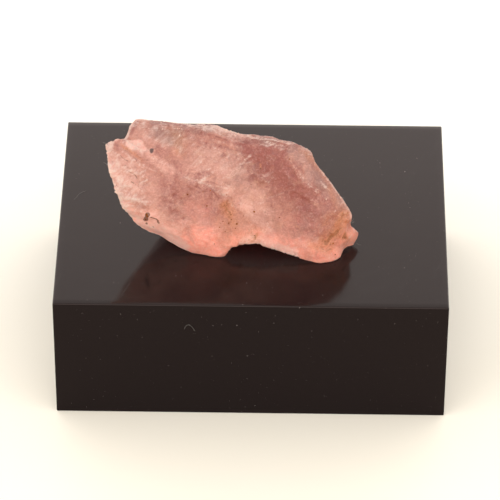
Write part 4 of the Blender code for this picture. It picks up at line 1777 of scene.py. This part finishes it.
DUST_MOTES: tuple[Grain, ...] = (
    (120.2, 223.1, 0.07), (404.8, 171.9, 0.06), (379.8, 163, 0.04), (410, 207.8, 0.06), (408.5, 203, 0.04),
    (416.9, 158.4, 0.05), (404.4, 268, 0.05), (444, 231, 0.05), (378.8, 267, 0.05), (113.6, 282.6, 0.05),
    (176, 276, 0.035), (181.6, 276, 0.035), (246.7, 283, 0.04), (322.7, 295.4, 0.05), (242.7, 304.8, 0.045),
    (299.5, 307.7, 0.05), (82, 313.2, 0.035), (120.5, 313.9, 0.05), (137.3, 319.4, 0.035),
    (212.9, 325.5, 0.035), (236.9, 325.2, 0.055), (258.4, 331.7, 0.035), (247.5, 355.7, 0.035),
    (253.6, 354.3, 0.035), (394.7, 323.7, 0.035), (427.5, 365.5, 0.03), (435.5, 397.2, 0.035),
    (255.1, 405.5, 0.035), (231.8, 363, 0.03), (168.2, 365.5, 0.03),
)


@dataclass(frozen=True)
class Fibre:
    """A fibre of lint or a pale splinter.

    Attributes:
        name: what it is.
        path: the photograph's pixels that it runs through.
        free: whether it stands out from its first pixel or lies on what is behind it.
    """

    name: str
    path: tuple[Pixel, ...]
    free: bool = False


FIBRES = (
    Fibre("hair on the block", ((74.5, 199.5), (79.5, 194), (86.5, 191))),
    Fibre("loop on the block's front", ((184.4, 329), (186.2, 325.6), (188.8, 324.6), (192, 326.8),
                                        (194.8, 330.4))),
    Fibre("splinter on the blade", ((108.5, 145.5), (106, 143.4), (102.8, 142.6)), True),
    Fibre("splinter below it", ((107.6, 166), (105.8, 163.4), (103.4, 162.6)), True),
    Fibre("first splinter on the rim", ((350.5, 222.5), (352.6, 220.4), (353.2, 218.6)), True),
    Fibre("second splinter on the rim", ((350.6, 223), (352.8, 222.4), (354.2, 221.4)), True),
    Fibre("splinter on the rim's top", ((340.5, 198.5), (342.6, 197.6), (344, 198.4)), True),
    Fibre("hair below the knob", ((356.6, 243), (358.4, 244.6), (361, 245)), True),
)


@dataclass
class Dirt:
    """What lies on the stone and the block: rust specks, crumbs of fluorite, dust and lint.

    Attributes:
        sight: the photograph's camera.
        stone: the finished stone.
        seed: what the chance places start from.
        more_specks: how many rust specks are added, every other one in a stained place.
        speck_size: the smallest and the largest of those in millimetres.
        speck_sink: how far a speck's middle lies under the skin, as a share of its radius.
        stained: the share of iron stain at which a place counts as stained.
        crumbs: how many crumbs lie along the broken edges.
        crumb_size: the smallest and the largest crumb's radius.
        crumb_lift: how far a crumb's middle lies above the skin, as a share of its radius.
        frosted: the share of frost at which a place counts as an edge.
        top_dust: how many motes of dust lie on the block's top.
        front_dust: how many cling to its front.
        dust_size: the smallest and the largest mote's radius.
        dust_lift: how far a mote's middle lies above the block, as a share of its radius.
        top_reach: the share of the block's width and depth that the dust keeps to.
        front_reach: the shares of its height between which the front's dust lies.
        fibre_radius: the fibres' radius.
        fibre_rise: how much further from the block each corner of a fibre lies than the last.
        fibre_bends: how many points a fibre's curve has.
        fibre_sides: how many sides it has.
        draw: what gives the chance numbers.
        block: the block's plain box, to find places on.
    """

    sight: Sight
    stone: Stone
    seed: int = 11
    more_specks: int = 90
    speck_size: tuple[float, float] = (0.02, 0.06)
    speck_sink: float = 0.55
    stained: float = 0.3
    crumbs: int = 130
    crumb_size: tuple[float, float] = (0.035, 0.11)
    crumb_lift: float = 0.1
    frosted: float = 0.5
    top_dust: int = 420
    front_dust: int = 260
    dust_size: tuple[float, float] = (0.01, 0.03)
    dust_lift: float = 0.3
    top_reach: float = 0.98
    front_reach: tuple[float, float] = (0.02, 0.98)
    fibre_radius: float = 0.01
    fibre_rise: float = 0.015
    fibre_bends: int = 24
    fibre_sides: int = 6
    draw: random.Random = field(init=False)
    block: BVHTree = field(init=False)

    def build(self) -> None:
        """Make the four pieces."""
        self.draw = random.Random(self.seed)
        self.block = surface_tree(self._block_shape())
        grains = grain_tree()
        grains.grow("rust_specks", self._specks(), RUST.inputs())
        grains.grow("fluorite_crumbs", self._crumbs(), CRUMBS.inputs())
        grains.grow("dust", self._dust(), DUST.inputs())
        fibre_tree().grow("lint", self._lint(), {"Radius": self.fibre_radius, "Bends": self.fibre_bends,
                                                 "Sides": self.fibre_sides, "Finish": LINT.material()})

    @staticmethod
    def _block_shape() -> bpy.types.Mesh:
        """The block's plain box.

        Returns:
            Its mesh, in millimetres.
        """
        low, high = (corner / MM - Vector(TOP_MIDDLE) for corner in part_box("display_block"))
        form = bmesh.new()
        bmesh.ops.create_cube(form, size=1.0)
        bmesh.ops.scale(form, verts=form.verts, vec=high - low)
        bmesh.ops.translate(form, verts=form.verts, vec=(low + high) / 2)
        return mesh_from(form, "block shape")

    @staticmethod
    def _host(grains: Sequence[tuple[Vector, float]]) -> bpy.types.Mesh:
        """Make a mesh of loose vertices that hold their grains' sizes.

        Args:
            grains: each grain's place and size.

        Returns:
            The mesh.
        """
        mesh = bpy.data.meshes.new("grain places")
        mesh.from_pydata([place for place, _ in grains], [], [])
        write_numbers(mesh, SIZE, [size for _, size in grains])
        return mesh

    def _size(self, sizes: tuple[float, float]) -> float:
        """A chance size, small ones the most common."""
        least, most = sizes
        return least * (most / least) ** self.draw.random() ** 2

    def _on_skin(self, vertices: Sequence[int], sizes: tuple[float, float],
                 lift: float) -> tuple[Vector, float]:
        """A grain on the stone's skin, at one of these vertices.

        Args:
            vertices: the vertices to choose from.
            sizes: the smallest and the largest size.
            lift: how far its middle lies above the skin, as a share of its size.

        Returns:
            Its place and size.
        """
        vertex = vertices[self.draw.randrange(len(vertices))]
        size = self._size(sizes)
        normal = Vector(self.stone.normals[vertex])
        return Vector(self.stone.points[vertex]) + normal * size * lift, size

    def _specks(self) -> bpy.types.Mesh:
        """Rust specks: those of the photograph, and chance ones in the stained places and all round.

        Returns:
            Their places.
        """
        found = []
        for x, y, size in RUST_SPECKS:
            place, normal = self.sight.meets((x, y), self.stone.skin)
            found.append((place - normal * size * self.speck_sink, size))
        stained = np.flatnonzero(self.stone.shares[Tint.IRON] > self.stained)
        for index in range(self.more_specks):
            vertices = stained if index % 2 else range(len(self.stone.points))
            found.append(self._on_skin(vertices, self.speck_size, -self.speck_sink))
        return self._host(found)

    def _crumbs(self) -> bpy.types.Mesh:
        """Pale crumbs along the broken edges.

        Returns:
            Their places.
        """
        edges = np.flatnonzero(self.stone.shares[Tint.FROST] > self.frosted)
        return self._host([self._on_skin(edges, self.crumb_size, self.crumb_lift)
                           for _ in range(self.crumbs)])

    def _dust(self) -> bpy.types.Mesh:
        """Dust on the block's top and front.

        Returns:
            The motes' places.
        """
        low, high = (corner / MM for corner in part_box("display_block"))
        found = []
        for x, y, size in DUST_MOTES:
            place, normal = self.sight.meets((x, y), self.block)
            found.append((place + normal * size * self.dust_lift, size))
        for index in range(self.top_dust + self.front_dust):
            size = self._size(self.dust_size)
            across = self.draw.uniform(low.x, high.x) * self.top_reach
            if index < self.top_dust:
                deep = self.draw.uniform(low.y, high.y) * self.top_reach
                found.append((Vector((across, deep, size * self.dust_lift)), size))
            else:
                down = self.draw.uniform(*self.front_reach) * high.z
                found.append((Vector((across, low.y - size * self.dust_lift, -down)), size))
        return self._host(found)

    def _lint(self) -> bpy.types.Mesh:
        """The fibres' lines.

        Returns:
            A mesh of their corners and edges.
        """
        places, edges = [], []
        for fibre in FIBRES:
            tree = self.stone.skin if fibre.free else self.block
            first, normal = self.sight.meets(fibre.path[0], tree)
            for index, pixel in enumerate(fibre.path):
                if fibre.free:
                    place = self.sight.level_with(first, pixel)
                else:
                    rise = self.fibre_radius + self.fibre_rise * index
                    place = self.sight.meets(pixel, tree)[0] + normal * rise
                if index:
                    edges.append((len(places) - 1, len(places)))
                places.append(place)
        mesh = bpy.data.meshes.new("fibre lines")
        mesh.from_pydata(places, edges, [])
        return mesh


@dataclass(frozen=True)
class Softbox:
    """A square softbox that faces the block.

    Attributes:
        name: what it is.
        azimuth: where it hangs round the block in degrees, 0 on the camera's side.
        elevation: its height above the horizon in degrees.
        distance: from the block in millimetres.
        side: its side in millimetres.
        radiance: how bright its face is.
    """

    name: str
    azimuth: float
    elevation: float
    distance: float
    side: float
    radiance: float

    def hang(self) -> None:
        """Hang it round the block."""
        lamp = bpy.data.lights.new(self.name, "AREA")
        lamp.size = self.side * MM
        lamp.energy = self.radiance * math.pi * lamp.size**2
        turn, lift = math.radians(self.azimuth), math.radians(self.elevation)
        away = Vector((math.sin(turn) * math.cos(lift), -math.cos(turn) * math.cos(lift), math.sin(lift)))
        holder = bpy.data.objects.new(self.name, lamp)
        holder.location = (away * self.distance + Vector(TOP_MIDDLE)) * MM
        holder.rotation_euler = away.to_track_quat("Z", "Y").to_euler()
        bpy.context.scene.collection.objects.link(holder)


SOFTBOXES = (
    Softbox("left softbox", azimuth=-50.0, elevation=48.0, distance=600.0, side=300.0, radiance=1.3),
    Softbox("right softbox", azimuth=58.0, elevation=42.0, distance=600.0, side=300.0, radiance=0.7),
    Softbox("front card", azimuth=5.0, elevation=8.0, distance=500.0, side=420.0, radiance=1.35),
)


@dataclass(frozen=True)
class Studio:
    """The pale table, the soft lamps round it and the camera.

    The tent's zones are given by two numbers, where a change starts and where it is full: the sine of the
    elevation, or how far a direction points to the back, from 0 to 1.

    Attributes:
        sight: the photograph's camera.
        floor_side: the floor's side in millimetres.
        tent: colour and strength of the white tent all round.
        glow: how much brighter the tent is behind the block.
        glow_back: where the glow starts, towards the back.
        glow_up: where it starts, above the floor.
        glow_end: where it ends above.
        strip: how much darker the tent is in the strip that the block's top mirrors.
        strip_back: where the strip starts, towards the back.
        strip_low: its lower edge.
        strip_high: its upper edge.
        dim: how much darker the tent's roof is.
        roof: where the roof starts.
    """

    sight: Sight
    floor_side: float = 3000.0
    tent: tuple[Colour, float] = ((1.0, 0.985, 0.965), 1.42)
    glow: float = 1.45
    glow_back: tuple[float, float] = (0.3, 0.7)
    glow_up: tuple[float, float] = (0.15, 0.4)
    glow_end: tuple[float, float] = (0.53, 0.66)
    strip: float = 0.25
    strip_back: tuple[float, float] = (0.4, 0.6)
    strip_low: tuple[float, float] = (0.62, 0.68)
    strip_high: tuple[float, float] = (0.72, 0.8)
    dim: float = 0.45
    roof: tuple[float, float] = (0.68, 0.9)

    def build(self) -> None:
        """Make the floor, the light and the camera."""
        self._floor()
        self._tent()
        for softbox in SOFTBOXES:
            softbox.hang()
        self.sight.camera()
        bpy.context.scene.view_settings.view_transform = "Standard"

    def _floor(self) -> None:
        """Lay the table under the block."""
        form = bmesh.new()
        bmesh.ops.create_grid(form, x_segments=1, y_segments=1, size=self.floor_side / 2 * MM)
        mesh = mesh_from(form, "floor")
        mesh.materials.append(PaleFloor().material())
        new_piece("floor", mesh)

    def _tent(self) -> None:
        """Light the scene from all sides, most from behind the block."""
        world = bpy.data.worlds.new("white tent")
        world.use_nodes = True
        tent = Graph(world.node_tree)
        way = tent.node("ShaderNodeSeparateXYZ", None, {0: tent.field("ShaderNodeTexCoord", "Generated")})
        back, up = Field(tent, way.outputs["Y"]), Field(tent, way.outputs["Z"])
        colour, strength = self.tent
        low = 1 - tent.step(up, *self.glow_end)
        glow = self.glow * tent.step(back, *self.glow_back) * tent.step(up, *self.glow_up) * low
        under = 1 - tent.step(up, *self.strip_high)
        mirrored = tent.step(back, *self.strip_back) * tent.step(up, *self.strip_low) * under
        shade = (1 - self.dim * tent.step(up, *self.roof)) * (1 - self.strip * mirrored)
        light = tent.field("ShaderNodeBackground", 0, None,
                           {"Color": (*colour, 1.0), "Strength": (strength + glow) * shade})
        tent.node("ShaderNodeOutputWorld", None, {"Surface": light})
        bpy.context.scene.world = world


def main() -> None:
    """Build the studio and every piece."""
    logging.basicConfig(level=logging.INFO, format="%(name)s %(message)s")
    sight = Sight()
    Studio(sight).build()
    DisplayBlock().build()
    stone = Stone(sight)
    stone.build()
    Dirt(sight, stone).build()


if __name__ == "__main__":
    main()
